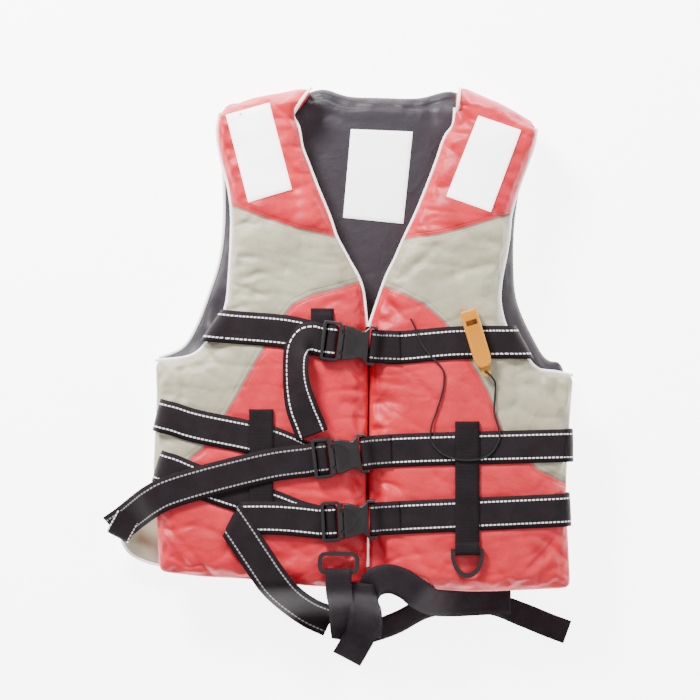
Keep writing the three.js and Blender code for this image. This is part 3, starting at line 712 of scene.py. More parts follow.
# Shoulder lines: a point on each, in millimetres, and its turn in degrees
SHOULDERS = {
    Side.LEFT: (-118.0, 276.0, 14.0),
    Side.RIGHT: (152.5, 269.0, -27.0),
}
SEAMS = {
    Side.LEFT: (
        [(-260, 172), (-152, 154), (-116, 140), (-79, 128), (-33, 118), (60, 105)],
        [(-290, -170), (-240, -157), (-211, -144), (-187, -125), (-159, -83), (-130, -32), (-113, -3), (-97, 24),
         (-82, 42), (-61, 52), (-33, 59), (-10, 66), (60, 78)],
    ),
    Side.RIGHT: (
        [(-60, 104), (30, 112), (47, 116), (87, 121), (124, 131), (168, 145), (260, 170)],
        [(-60, 74), (0, 65), (22, 62), (43, 54), (69, 41), (96, 17), (131, -39), (142, -59), (159, -105),
         (199, -149), (234, -166), (290, -178)],
    ),
}

# Straight creases: two ends, depth and half width, in millimetres
CREASES = {
    Side.LEFT: [(-150, 50, -70, 48, 4.2, 5), (-150, 68, -92, 78, 3.6, 5), (-142, 96, -62, 66, 3.0, 6),
                (-60, 30, -15, 52, 1.8, 5),
                (-110, 200, -75, 150, 2.0, 6), (-225, -60, -150, -70, 2.2, 6), (-30, -40, -24, -92, 2.4, 9),
                (-95, -50, -60, -90, 1.8, 8), (-22, -160, -8, -178, 2.2, 5), (-200, -215, -150, -250, 2.2, 8),
                (-90, -235, -60, -262, 2.2, 8), (-230, -240, -205, -262, 2.0, 6), (-120, 225, -88, 238, 1.5, 6)],
    Side.RIGHT: [(12, 45, 40, 20, 2.6, 7), (38, 66, 88, 112, 3.6, 6), (70, 62, 146, 84, 3.4, 6),
                 (75, 100, 158, 96, 1.8, 6),
                 (30, -40, 34, -95, 2.4, 9), (48, -48, 75, -90, 1.8, 8), (14, -152, 45, -176, 2.4, 6),
                 (160, -50, 225, -70, 2.4, 7), (150, -75, 215, -100, 1.8, 7), (15, -240, 50, -268, 2.4, 7),
                 (85, -240, 95, -275, 1.8, 7), (150, -235, 215, -262, 2.4, 9), (130, 225, 160, 170, 1.6, 8)],
}


ROLL_OUTER = {
    Side.LEFT: [(-168, 263), (-160, 272), (-143, 273), (-126, 279.5), (-111, 282), (-92, 285.5), (-70, 294),
                (-61, 293)],
    Side.RIGHT: [(199, 249), (190, 254), (175, 260.5), (161, 268.5), (147, 276), (134, 280), (118, 290), (109, 293)],
}
ROLL_INNER = {
    Side.LEFT: [(-170, 236), (-160, 238), (-145, 240), (-130, 243), (-115, 246), (-100, 249), (-88, 255), (-84, 258)],
    Side.RIGHT: [(196, 222), (186, 226), (172, 232), (158, 238), (144, 245), (130, 251), (112, 257), (105, 259)],
}
ROLL_MIDDLE = 0.0425
ROLL_HALF = 0.0423


def roll_point(side: Side, along: float, across: float) -> np.ndarray:
    """Place in plan on a shoulder roll.

    Args:
        side: which shoulder.
        along: 0 at the arm end, 1 at the neck end.
        across: -1 on the inner side, 1 on the outer side.

    Returns:
        The point.
    """
    spots = []
    for run in (ROLL_OUTER[side], ROLL_INNER[side]):
        run = np.array(run, float) * MM
        t = np.linspace(0, 1, len(run))
        spots.append(np.array([np.interp(along, t, run[:, 0]), np.interp(along, t, run[:, 1])]))
    return spots[0] + (spots[1] - spots[0]) * (1 - across) / 2


def shoulder_roll(bm: bmesh.types.BMesh, side: Side) -> None:
    """Adds the oval roll of cloth where front and back meet.

    Args:
        bm: the bmesh that receives it.
        side: which shoulder.
    """
    own = bmesh.new()
    bmesh.ops.create_cone(own, cap_ends=True, segments=28, radius1=1, radius2=1, depth=2)
    long = [e for e in own.edges if abs(e.verts[0].co.z - e.verts[1].co.z) > 1]
    bmesh.ops.subdivide_edges(own, edges=long, cuts=15, use_grid_fill=False)
    for v in own.verts:
        p = roll_point(side, (v.co.z + 1) / 2, v.co.x)
        v.co = Vector((p[0], p[1], ROLL_MIDDLE + v.co.y * ROLL_HALF))
    mesh = bpy.data.meshes.new("shoulder_roll")
    own.to_mesh(mesh)
    own.free()
    bm.from_mesh(mesh)
    bpy.data.meshes.remove(mesh)


def prism(bm: bmesh.types.BMesh, points: np.ndarray, low: float, high: float) -> None:
    """Adds an upright prism over an outline.

    Args:
        bm: the bmesh that receives it.
        points: the outline.
        low: height of its base.
        high: height of its top.
    """
    face = bm.faces.new([bm.verts.new((p[0], p[1], low)) for p in points])
    grown = bmesh.ops.extrude_face_region(bm, geom=[face])["geom"]
    bmesh.ops.translate(bm, verts=[g for g in grown if isinstance(g, bmesh.types.BMVert)], vec=(0, 0, high - low))


@dataclass
class Cover:
    """One padded part of the jacket.

    Args:
        name: the piece's name.
        points: its outline in plan.
        low: height of its underside.
        high: height of its top.
        shoulders: which shoulder rolls are sewn to it.
        round: how far from the rim the cover is thinner, in metres.
        obj: the piece, once it is built.
    """

    name: str
    points: np.ndarray
    low: float
    high: float
    shoulders: tuple[Side, ...] = ()
    round: float = 0.024
    obj: bpy.types.Object | None = field(default=None, init=False)

    def body(self) -> bpy.types.Object:
        """Builds the plain cover, remeshed to even faces.

        Returns:
            The object.
        """
        bm = bmesh.new()
        prism(bm, self.points, self.low, self.high)
        bmesh.ops.recalc_face_normals(bm, faces=bm.faces[:])
        for side in self.shoulders:
            shoulder_roll(bm, side)
        bmesh.ops.recalc_face_normals(bm, faces=bm.faces[:])
        self.obj = make_object(self.name, bm, "panel")
        remesh = self.obj.modifiers.new("remesh", "REMESH")
        remesh.mode = "VOXEL"
        remesh.voxel_size = VOXEL
        bake(self.obj)
        self.pillow()
        return self.obj

    def pillow(self) -> None:
        """Thins the cover towards its edge."""
        co = read(self.obj.data)
        middle = (self.low + self.high) / 2
        depth = distance_to(co[:, :2], self.points, True)
        t = np.clip(depth / self.round, 0, 1)
        scale = 0.42 + 0.58 * np.sqrt(1 - (1 - t) ** 2)
        free = np.ones(len(co))
        for side in self.shoulders:
            free = np.minimum(free, np.clip((-beyond_shoulder(co, side) - SHOULDER_DEPTH - 0.002) / 0.03, 0, 1))
        scale = 1 + (scale - 1) * free
        co[:, 2] = middle + (co[:, 2] - middle) * scale
        write(self.obj.data, co)
        self.smooth(6)

    def smooth(self, rounds: int) -> None:
        """Relaxes the surface.

        Args:
            rounds: how often.
        """
        bm = bmesh.new()
        bm.from_mesh(self.obj.data)
        for _ in range(rounds):
            bmesh.ops.smooth_vert(bm, verts=bm.verts[:], factor=0.5, use_axis_x=True, use_axis_y=True,
                                  use_axis_z=True)
        bm.to_mesh(self.obj.data)
        bm.free()

    def puff(self) -> None:
        """Inflates the cloth against its stitched rim, so that it puckers there."""
        obj = self.obj
        rest = read(obj.data)
        edge = distance_to(rest[:, :2], self.points, True)
        pins = obj.vertex_groups.new(name="rim")
        for i in np.flatnonzero(edge < RIM_WIDTH):
            pins.add([int(i)], 1.0, "REPLACE")
        cloth = obj.modifiers.new("cloth", "CLOTH")
        s = cloth.settings
        s.quality = 4
        s.mass = 0.25
        s.tension_stiffness = 14
        s.compression_stiffness = 8
        s.shear_stiffness = 4
        s.bending_stiffness = 0.35
        s.shrink_min = -0.045
        s.use_pressure = True
        s.uniform_pressure_force = PUFF_PRESSURE
        s.vertex_group_mass = "rim"
        s.effector_weights.gravity = 0
        cloth.collision_settings.use_collision = False
        scene = bpy.context.scene
        for f in range(1, PUFF_FRAMES + 1):
            scene.frame_set(f)
        shaped = obj.evaluated_get(bpy.context.evaluated_depsgraph_get())
        moved = read(shaped.to_mesh()) - rest
        shaped.to_mesh_clear()
        obj.modifiers.clear()
        obj.vertex_groups.clear()
        scene.frame_set(1)
        length = np.linalg.norm(moved, axis=1, keepdims=True)
        moved *= PUFF_LIMIT * np.tanh(length / PUFF_LIMIT) / np.maximum(length, TINY)
        write(obj.data, rest + moved)
        LOG.info("puffed %s", self.name)

    def subdivide(self) -> None:
        """Adds one level of subdivision."""
        self.obj.modifiers.new("subdivision", "SUBSURF").levels = 1
        self.obj.modifiers["subdivision"].render_levels = 1
        bake(self.obj)

    def mark(self, name: str, values: np.ndarray) -> None:
        """Stores one value per point.

        Args:
            name: the attribute's name.
            values: the values.
        """
        attribute = self.obj.data.attributes.new(name, "FLOAT", "POINT")
        attribute.data.foreach_set("value", values.astype(np.float32))


@dataclass
class FrontCover(Cover):
    """A front panel with its shoulder, seams, creases and belt dents.

    Args:
        side: which half of the jacket.
    """

    side: Side = Side.LEFT

    def finish(self) -> bpy.types.Object:
        """Shapes the surface and hands it over.

        Returns:
            The piece.
        """
        self.body()
        self.puff()
        self.subdivide()
        co = read(self.obj.data)
        upper, lower = (np.array(s, float) * MM for s in SEAMS[self.side])
        up, down = height_over(co[:, :2], upper), height_over(co[:, :2], lower)
        top = np.clip((co[:, 2] - 0.066) / 0.012, 0, 1)
        drop = SEAM_DEPTH * np.exp(-(up / SEAM_WIDTH) ** 2) + SEAM_DEPTH * np.exp(-(down / SEAM_WIDTH) ** 2)
        for x0, y0, x1, y1, deep, wide in CREASES[self.side]:
            line = catmull([(x0, y0), ((x0 + x1) / 2 + wide * 0.8, (y0 + y1) / 2 + wide * 0.8), (x1, y1)], 12) * MM
            d = distance_to(co[:, :2], line)
            middle = (line[0] + line[-1]) / 2
            reach = np.linalg.norm(line[0] - line[-1]) / 2
            fade = np.clip(1.25 - np.linalg.norm(co[:, :2] - middle, axis=1) / max(reach, 1e-6), 0, 1)
            drop += deep * MM * fade * np.exp(-(d / (wide * MM)) ** 2)
        seed = 3.1 if self.side is Side.LEFT else 9.7
        drop += 0.0014 * (1 + ripple(co, (18, 11, 0), seed))
        slant = np.column_stack([co[:, 0] * 0.8 + co[:, 1] * 0.6, co[:, 1] * 0.8 - co[:, 0] * 0.6, co[:, 2]])
        drop += 0.0030 * np.clip(1 - 5 * np.abs(ripple(slant, (20, 9, 0), seed + 2)), 0, 1) ** 1.5
        drop += 0.0018 * np.clip(1 - 5 * np.abs(ripple(co, (13, 32, 0), seed + 4)), 0, 1) ** 1.5
        drop += 0.0008 * (1 + ripple(co, (60, 35, 0), 5.3))
        z = co[:, 2] - top * drop
        # the belts press the cloth to their own level
        press = np.zeros(len(co))
        for line in BELT_LINES[self.side]:
            d = distance_to(co[:, :2], np.array(line, float) * MM)
            press = np.maximum(press, np.clip((0.026 - d) / 0.008, 0, 1))
        press = press * press * (3 - 2 * press) * np.clip((distance_to(co[:, :2], self.points, True) - 0.008) / 0.012,
                                                          0, 1)
        z = np.where(top > 0.02, z + (BELT_LEVEL - z) * press * top, z)
        co[:, 2] = soft_top(z, FRONT_SOFT_TOP, FRONT_SOFT_ROOM)
        write(self.obj.data, co)
        self.mark("upper_seam", up)
        self.mark("lower_seam", down)
        inside = np.clip((0.0475 - co[:, 2]) / 0.002, 0, 1)
        over = np.clip((beyond_shoulder(co, self.side) + SHOULDER_DEPTH) / 0.002, 0, 1)
        self.mark("inside", inside * (1 - over))
        name = self.side.value
        nodes = [f"front_{name}_{n}" for n in ("yoke", "chest", "lower", "lining", "foam")] + [f"shoulder_{name}"]
        settle(self.obj, "jacket", "red_nylon", *nodes)
        return self.obj


def beyond_shoulder(co: np.ndarray, side: Side) -> np.ndarray:
    """How far each point lies beyond a shoulder's line, away from the body.

    Args:
        co: array of points.
        side: which shoulder.

    Returns:
        Array of signed distances.
    """
    x, y, turn = SHOULDERS[side]
    a = math.radians(turn)
    return (co[:, 0] - x * MM) * -math.sin(a) + (co[:, 1] - y * MM) * math.cos(a)


@dataclass
class BackCover(Cover):
    """The back panel: khaki outside, dark lining inside."""

    def finish(self) -> bpy.types.Object:
        """Shapes the surface and hands it over.

        Returns:
            The piece.
        """
        self.body()
        self.puff()
        self.smooth(3)
        self.subdivide()
        co = read(self.obj.data)
        top = np.clip((co[:, 2] - 0.024) / 0.01, 0, 1)
        drop = 0.0022 * (1 + ripple(co, (14, 20, 0), 1.7)) + 0.0009 * (1 + ripple(co, (55, 40, 0), 8.1))
        collar = outline(COLLAR)
        d = distance_to(co[:, :2], collar - np.array([0, 0.012]))
        drop += 0.0025 * np.exp(-(d / 0.003) ** 2)
        z = co[:, 2] - top * drop
        z = soft_top(z, BACK_SOFT_TOP, BACK_SOFT_ROOM)
        under = np.clip((0.010 - z) / 0.01, 0, 1)
        z = z - 0.0006 * under * ripple(co, (30, 24, 0), 4.4)
        z = np.maximum(z, 0.0002)
        co[:, 2] = z
        write(self.obj.data, co)
        self.mark("upper_seam", np.full(len(co), -1.0))
        self.mark("lower_seam", np.full(len(co), 1.0))
        flap = (co[:, 0] < -0.236) & (co[:, 1] < -0.15)
        self.mark("inside", np.where(flap, 0.0, np.clip((z - BACK_SEAM) / 0.001, 0, 1)))
        settle(self.obj, "jacket", "khaki_nylon", "back_cover", "back_lining", "back_foam")
        return self.obj


# ---------------------------------------------------------------- straps


@dataclass(frozen=True)
class BuckleSpot:
    """Where a buckle lies.

    Args:
        name: top, middle or bottom.
        x: centre, in millimetres.
        y: centre, in millimetres.
        turn: turn about +Z in degrees.
        bend: how far the right belt has turned again 60 mm on, in degrees.
        drift: how far it has moved sideways there, in millimetres.
    """

    name: str
    x: float
    y: float
    turn: float
    bend: float = 0.0
    drift: float = 0.0

    def place(self, rows: list[tuple]) -> list[Station]:
        """Moves stations from the buckle's own frame to the jacket's.

        Args:
            rows: x, y, z above the buckle's base and heading.

        Returns:
            Stations with no tilt.
        """
        a = math.radians(self.turn)
        return [(self.x + x * math.cos(a) - y * math.sin(a), self.y + x * math.sin(a) + y * math.cos(a),
                 z + BUCKLE_Z / MM, h + self.turn, 0.0) for x, y, z, h in rows]


TOP = BuckleSpot("top", -19, -4, -7, 9, 1.4)
MIDDLE = BuckleSpot("middle", -29, -134, 7, -5, -0.8)
BOTTOM = BuckleSpot("bottom", -19, -208, 3)

BELT_LINES = {
    Side.LEFT: [[(-190, 18), (-90, 9), (-19, -4)],
                [(-250, -85), (-192, -100), (-120, -115), (-84, -127), (-29, -134)],
                [(-250, -143), (-187, -165), (-112, -190), (-74, -204), (-19, -208)]],
    Side.RIGHT: [[(-19, -4), (35, -8), (100, -4), (190, -3)], [(-29, -134), (30, -127), (80, -126), (245, -122)],
                 [(-19, -208), (30, -205), (80, -203), (240, -196)]],
}


@dataclass
class Strap:
    """Flat webbing that follows stations of x, y, z, heading, tilt and skew, in millimetres and degrees.

    Args:
        name: the piece's name.
        stations: the route.
        width: the webbing's width in metres.
        faces: finishes of its upper and lower face.
        wave: height of its soft waves in metres.
        thick: the webbing's thickness in metres.
        after: what each point goes through at the end, such as a fold.
    """

    name: str
    stations: list[Station]
    width: float = BELT_WIDTH
    faces: tuple[str, str] = ("belt_bright", "belt_faint")
    wave: float = 0.0003
    thick: float = WEB_THICK
    after: Callable[[np.ndarray], np.ndarray] | None = None

    def build(self) -> bpy.types.Object:
        """Builds the strap.

        Returns:
            The object.
        """
        rows = catmull([(*r, 0.0) if len(r) == 5 else r for r in self.stations], 260)
        reach = np.concatenate([[0], np.cumsum(np.linalg.norm(np.diff(rows[:, :3], axis=0), axis=1))])
        length = reach[-1] * MM
        count = max(12, int(length / STRAP_STEP))
        rows = np.column_stack([np.interp(np.linspace(0, reach[-1], count + 1), reach, rows[:, k]) for k in range(6)])
        rows[:, :3] *= MM
        tangent = np.gradient(rows[:, :3], axis=0)
        bm = bmesh.new()
        bmesh.ops.create_grid(bm, x_segments=STRAP_COLUMNS, y_segments=count, size=0.5)
        uv = bm.loops.layers.uv.new("strap")
        for face in bm.faces:
            for loop in face.loops:
                loop[uv].uv = (loop.vert.co.x * self.width, (loop.vert.co.y + 0.5) * length)
        for v in bm.verts:
            u, t = v.co.x, v.co.y + 0.5
            s = t * count
            i = min(int(s), count - 1)
            f = s - i
            row = rows[i] * (1 - f) + rows[i + 1] * f
            along = Vector(tangent[i] * (1 - f) + tangent[i + 1] * f)
            h, tilt = math.radians(row[3]), math.radians(row[4])
            side = Vector((-math.sin(h) * math.cos(tilt), math.cos(h) * math.cos(tilt), math.sin(tilt)))
            up = along.cross(side)
            if up.length < 1e-12:
                up = Vector((0, 0, 1))
            up.normalize()
            sway = self.wave * noise.noise((row[0] * 30, row[1] * 30, u * 1.5))
            crown = 0.0002 * (1 - (2 * u) ** 2)
            skew = Vector((math.cos(h), math.sin(h), 0)) * (u * self.width * row[5])
            v.co = Vector(row[:3]) + side * (u * self.width) + skew + up * (sway + crown)
        if self.after is not None:
            for v in bm.verts:
                v.co = self.after(v.co)
        bmesh.ops.recalc_face_normals(bm, faces=bm.faces[:])
        obj = make_object(self.name, bm, *self.faces)
        self.face_up(obj)
        solid = obj.modifiers.new("solid", "SOLIDIFY")
        solid.thickness = self.thick
        solid.offset = 0
        solid.material_offset = 1
        bake(obj)
        return obj

    @staticmethod
    def face_up(obj: bpy.types.Object) -> None:
        """Turns the faces so that most of them look up.

        Args:
            obj: the strap.
        """
        total = sum(p.normal.z * p.area for p in obj.data.polygons)
        if total < 0:
            obj.data.flip_normals()


def round_edge(x: float, y: float, heading: float, out: float, skew: float, way: int) -> list[Station]:
    """Stations of a belt from its sewn end between the panels, round the front's edge, to the front's face.

    Args:
        x: edge point, in millimetres.
        y: edge point, in millimetres.
        heading: heading at the edge in degrees.
        out: how far the belt passes outside the edge point.
        skew: how slanted the fold round the edge is.
        way: -1 for the left edge, 1 for the right.

    Returns:
        The stations.
    """
    a = math.radians(heading)
    low = BELT_Z / MM
    rises = [(-44, 39.2), (-10, 39.2), (out - 5, 41), (out, 49), (out + 1, 60), (out + 1, 72), (out - 2, 82),
             (out - 9, low), (out - 20, low)]
    return [(x + way * d * math.cos(a), y + way * d * math.sin(a), z, heading, 0.0, skew) for d, z in rises]


def belt_left(b: BuckleSpot, x: float, y: float, heading: float, out: float, via: list[Station],
              skew: float = 0.0) -> list[Station]:
    """Route of a left belt: from the back's lining, round the front's edge, to under the ladder.

    Args:
        b: its buckle.
        x: edge point, in millimetres.
        y: edge point, in millimetres.
        heading: heading at the edge in degrees.
        out: how far the belt passes outside the edge point.
        via: stations on the panel.
        skew: how slanted the fold round the edge is.

    Returns:
        The stations.
    """
    under = (BELT_Z - BUCKLE_Z) / MM
    return [*round_edge(x, y, heading, out, skew, -1), *via, *b.place([(-31, 0, under, 0), (-14, 0, under, 0)])]


def belt_right(b: BuckleSpot, x: float, y: float, heading: float, out: float, via: list[Station],
               skew: float = 0.0) -> list[Station]:
    """Route of a right belt: over the buckle's end bar, across the panel and round its edge.

    Args:
        b: its buckle.
        x: edge point, in millimetres.
        y: edge point, in millimetres.
        heading: heading at the edge in degrees.
        out: how far the belt passes outside the edge point.
        via: stations on the panel.
        skew: how slanted the fold round the edge is.

    Returns:
        The stations.
    """
    return [*b.place([(60, b.drift * 1.6, -1.1, b.bend), (42, b.drift * 0.5, -1.1, b.bend * 0.5), (37, 0, 2.0, 0),
                      (34, 0, 5.2, 0), (31, 0, 6.6, 0), (26.4, 0, 6.4, 0), (25.5, 0, 3.4, 0), (26.2, 0, 0.0, 0),
                      (29, 0, -2.6, 0), (38, b.drift * 0.3, -2.9, b.bend * 0.3),
                      (60, b.drift * 1.6, -2.9, b.bend)]),
            *via, *reversed(round_edge(x, y, heading, out, skew, 1))]


LADDER_WRAP = [(-14.7, 0, 0.3, 0), (-14.7, 0, 4.6, 0), (-15.8, 0, 6.1, 0), (-23.4, 0, 6.1, 0), (-24.5, 0, 4.6, 0),
               (-25.0, 0, 2.2, 0), (-28, 0, 0.9, 0), (-34, 0, 0.9, 0)]


@dataclass(frozen=True)
class Fold:
    """Fold of flat webbing over a slanted line, past which it lies on itself and then hangs over the hem.

    Args:
        point: a point on the fold line, in millimetres.
        turn: direction of the fold line's outward side in degrees.
        roll: radius of the fold in metres.
        base: height of the flat webbing in metres.
    """

    point: Point
    turn: float
    roll: float
    base: float

    def normal(self) -> Vector:
        """Gives the fold line's outward direction.

        Returns:
            The direction.
        """
        a = math.radians(self.turn)
        return Vector((math.cos(a), math.sin(a), 0))

    def mirrored(self, wanted: list[Point], z: float) -> list[Station]:
        """Stations that the fold brings to wanted places.

        Args:
            wanted: places of the folded stretch, in millimetres.
            z: height before the fold.

        Returns:
            The stations before the fold.
        """
        n = self.normal()
        spots = []
        for x, y in wanted:
            off = Vector((x - self.point[0], y - self.point[1], 0))
            q = off - n * (2 * off.dot(n))
            spots.append((q.x + self.point[0], q.y + self.point[1]))
        rows = []
        for i, (x, y) in enumerate(spots):
            p, q = spots[max(i - 1, 0)], spots[min(i + 1, len(spots) - 1)]
            rows.append((x, y, z, math.degrees(math.atan2(p[1] - q[1], p[0] - q[0])), 0.0))
        return rows

    def move(self, p: Vector) -> Vector:
        """Folds one point of the flat webbing.

        Args:
            p: the point.

        Returns:
            The moved point.
        """
        if p.z > self.base + 0.0016 or p.x > -0.06:
            return p
        n = self.normal()
        s = (p - Vector((self.point[0] * MM, self.point[1] * MM, self.base))).dot(n)
        q = p.copy()
        if s > math.pi * self.roll:
            q = p - n * (2 * s - math.pi * self.roll)
            q.z += 2 * self.roll
        elif s > 0:
            q = p - n * (s - self.roll * math.sin(s / self.roll))
            q.z += self.roll * (1 - math.cos(s / self.roll))
        if s > 0 and q.y < -0.280:
            fall = min((-0.280 - q.y) / 0.05, 1.0)
            q.z -= (q.z - 0.008) * fall * fall * (3 - 2 * fall)
        return q


class StrapSet:
    """All belts, tails, keepers and crotch straps."""

    def build(self) -> None:
        """Builds every strap."""
        low, tail = BELT_Z / MM, TAIL_Z / MM
        belts = [
            (belt_left(TOP, -160, 15, -5, 16, [(-148, 14, low, -5, 0, 0.25), (-90, 9, low, -6, 0)], 0.55),
             "belt_top_left"),
            (belt_left(MIDDLE, -238, -87, -14, 1, [(-192, -100, low, -13, 0), (-120, -115, low, -10, 0),
                                                   (-84, -127, low, -4, 0)]), "belt_middle_left"),
            (belt_left(BOTTOM, -238, -146, -17, 1, [(-187, -165, low, -18, 0), (-112, -190, low, -15, 0),
                                                    (-74, -204, low, -6, 0)]), "belt_bottom_left"),
            (belt_right(TOP, 160, -3, 0, 23, [(100, -4, low, 0, 0), (150, -3, low, 0, 0, -0.3)], -0.55),
             "belt_top_right"),
            (belt_right(MIDDLE, 236, -122, 1, 3, [(80, -126, low, 1, 0)]), "belt_middle_right"),
            (belt_right(BOTTOM, 234, -196, 3, 2, [(80, -203, low, 3, 0)]), "belt_bottom_right"),
        ]
        for stations, name in belts:
            settle(Strap(f"web_{name}", stations).build(), "jacket", "webbing", name)

        tails = [
            (TOP, [(-60, 2, tail, -7, 0), (-71, -1, 93, 22, -18), (-78, -14, 97, 64, -36),
                   (-79.5, -34, 98.5, 86, -42),
                   (-77.5, -56, 99, 95, -34), (-72, -79, 98.5, 103, -16), (-65, -97, 96, 108, -8),
                   (-60, -110, 94.5, 111, -6)]),
            (MIDDLE, [(-66, -139, tail, 7, 0), (-110, -145, tail, 10, 0), (-180, -162, tail, 16, 0),
                      (-226, -176, tail - 0.5, 20, 0), (-247, -187, 84, 26, 6), (-262, -198, 66, 33, 14),
                      (-276, -209, 50, 38, 18), (-292, -221, 42, 40, 10)]),
        ]
        for b, rest in tails:
            faces = ("belt_bright", "belt_faint") if b is TOP else ("belt_faint", "belt_bright")
            obj = Strap(f"web_tail_{b.name}", [*b.place(LADDER_WRAP), *rest], faces=faces).build()
            settle(obj, f"{b.name}_male", "webbing", f"tail_{b.name}")
        tab = [(-269, -196, 55.5, 61, 0), (-277, -210, 53, 61, 6), (-285, -224, 47, 61, 10), (-287, -229, 44, 61, 12),
               (-286.5, -228, 42, 61, 12), (-283, -222, 42.5, 61, 10), (-278, -213, 46, 61, 8)]
        settle(Strap("web_tail_middle_tab", tab, width=0.028, faces=("belt_bright", "belt_plain")).build(),
               "middle_male", "webbing")

        ladder_end = BOTTOM.place(LADDER_WRAP)
        flat = [(-64, -208.6, tail, 1, 0), (-84, -206.6, tail, -1, 0), (-104, -205.4, tail, -1, 0),
                (-128, -205.2, tail, 0, 0)]
        fold = Fold((-152, -206), 153, 0.0014, TAIL_Z)
        hanging = [(-140, -223), (-122, -250), (-103, -278), (-84, -301), (-61, -320), (-36, -332)]
        after = fold.mirrored(hanging, tail)
        folded = Strap("web_tail_bottom", [*ladder_end, *flat, *after], faces=("belt_faint", "belt_bright"),
                       after=fold.move).build()
        settle(folded, "bottom_male", "webbing", "tail_bottom")

        high = 88.2
        flat = 85.9
        keepers = [
            ("keeper_top_left", -49, 26, [(36, flat), (31, flat), (28, 87.75), (-10, 87.75), (-14, 87.2),
                                          (-18, 86.6)]),
            ("keeper_left", -119, 28, [(-82, flat), (-87, flat), (-90, high), (-212, high), (-216, flat),
                                       (-221, flat)]),
            ("keeper_right", 118, 28, [(-96, flat), (-101, flat), (-104, high), (-226, high), (-233, 93.5),
                                       (-239, 95), (-245, 95), (-247.4, 93.4), (-247.4, 87.6), (-245, flat),
                                       (-231, flat)]),
        ]
        for name, x, width, rows in keepers:
            stations = [(x, y, z, 90, 0) for y, z in rows]
            obj = Strap(f"web_{name}", stations, width=width * MM, faces=("keeper", "keeper"), thick=0.0011,
                        wave=0.0).build()
            settle(obj, "jacket", "webbing", name)
        self.crotch()

    def crotch(self) -> None:
        """Builds the tangle of plain straps under the hem."""
        plain = ("belt_plain", "belt_plain")
        hanging = [(-30, -284, 87.2, 90, 0), (-30, -270, 86.9, 90, 0), (-30, -264.2, 89, 90, 0),
                   (-30, -264.2, 94, 90, 0), (-30, -268, 96.2, 90, 0), (-30, -277, 96, 90, 0), (-30, -288, 92, 90, 0),
                   (-29, -297, 80, 89, 4), (-28, -304, 58, 88, 8), (-27, -314, 34, 87, 10), (-26, -334, 17, 84, 8),
                   (-24, -352, 10, 80, 4)]
        settle(Strap("web_crotch_hanging", hanging, width=0.03, faces=plain).build(), "jacket", "webbing",
               "crotch_strap_hanging")
        front = [(-8, -280, 88, 84, -20), (-4, -292, 84, 84, -16), (-1, -303, 66, 82, -10), (0, -318, 40, 80, -8),
                 (-3, -340, 24, 74, -4), (-12, -358, 16, 66, 0), (-21, -374, 8, 62, 0)]
        settle(Strap("web_crotch_front", front, width=0.036, faces=plain).build(), "jacket", "webbing")
        upper = [(4, -345, 14, 70, 20), (7, -325, 24, 64, 24), (6, -306, 50, 60, 26), (4, -292, 78, 46, 24),
                 (12, -279, 92, 26, 10), (28, -275, 94, 2, 0), (46, -281, 93, -20, 0), (62, -293, 86, -32, 4),
                 (80, -303, 62, -20, 10), (104, -306, 36, -6, 12), (140, -305, 22, 2, 10), (171, -304, 16, 0, 6)]
        settle(Strap("web_crotch_upper", upper, width=0.034, faces=plain).build(), "jacket", "webbing",
               "crotch_strap_upper")
        lower = [(10, -342, 7, -8, 10), (40, -330, 12, 12, 20), (70, -314, 16, 14, 24), (105, -308, 14, 2, 30),
                 (150, -310, 10, -8, 24), (185, -322, 7, -18, 6), (214, -334, 5, -20, 0), (238, -343, 4, -20, 0)]
        settle(Strap("web_crotch_lower", lower, width=0.028, faces=plain).build(), "jacket", "webbing",
               "crotch_strap_lower")


# ---------------------------------------------------------------- trims


def tube(name: str, points: np.ndarray, radius: float, finish: str) -> bpy.types.Object:
    """Builds a round cord as one open line.

    Args:
        name: the piece's name.
        points: its route.
        radius: its radius.
        finish: its finish.

    Returns:
        The object.
    """
    data = bpy.data.curves.new(name, "CURVE")
    data.dimensions = "3D"
    data.bevel_depth = radius
    data.bevel_resolution = 3
    data.use_fill_caps = True
    line = data.splines.new("POLY")
    line.points.add(len(points) - 1)
    for spot, p in zip(line.points, points):
        spot.co = (*p, 1)
    data.materials.append(Wardrobe.get(finish))
    obj = bpy.data.objects.new(name, data)
    bpy.context.scene.collection.objects.link(obj)
    return obj


def offset_line(points: np.ndarray, by: float) -> np.ndarray:
    """Moves an anticlockwise outline's run outwards.

    Args:
        points: the run.
        by: distance.

    Returns:
        The moved run.
    """
    t = np.gradient(points, axis=0)
    t /= np.linalg.norm(t, axis=1, keepdims=True)
    return points + np.column_stack([t[:, 1], -t[:, 0]]) * by


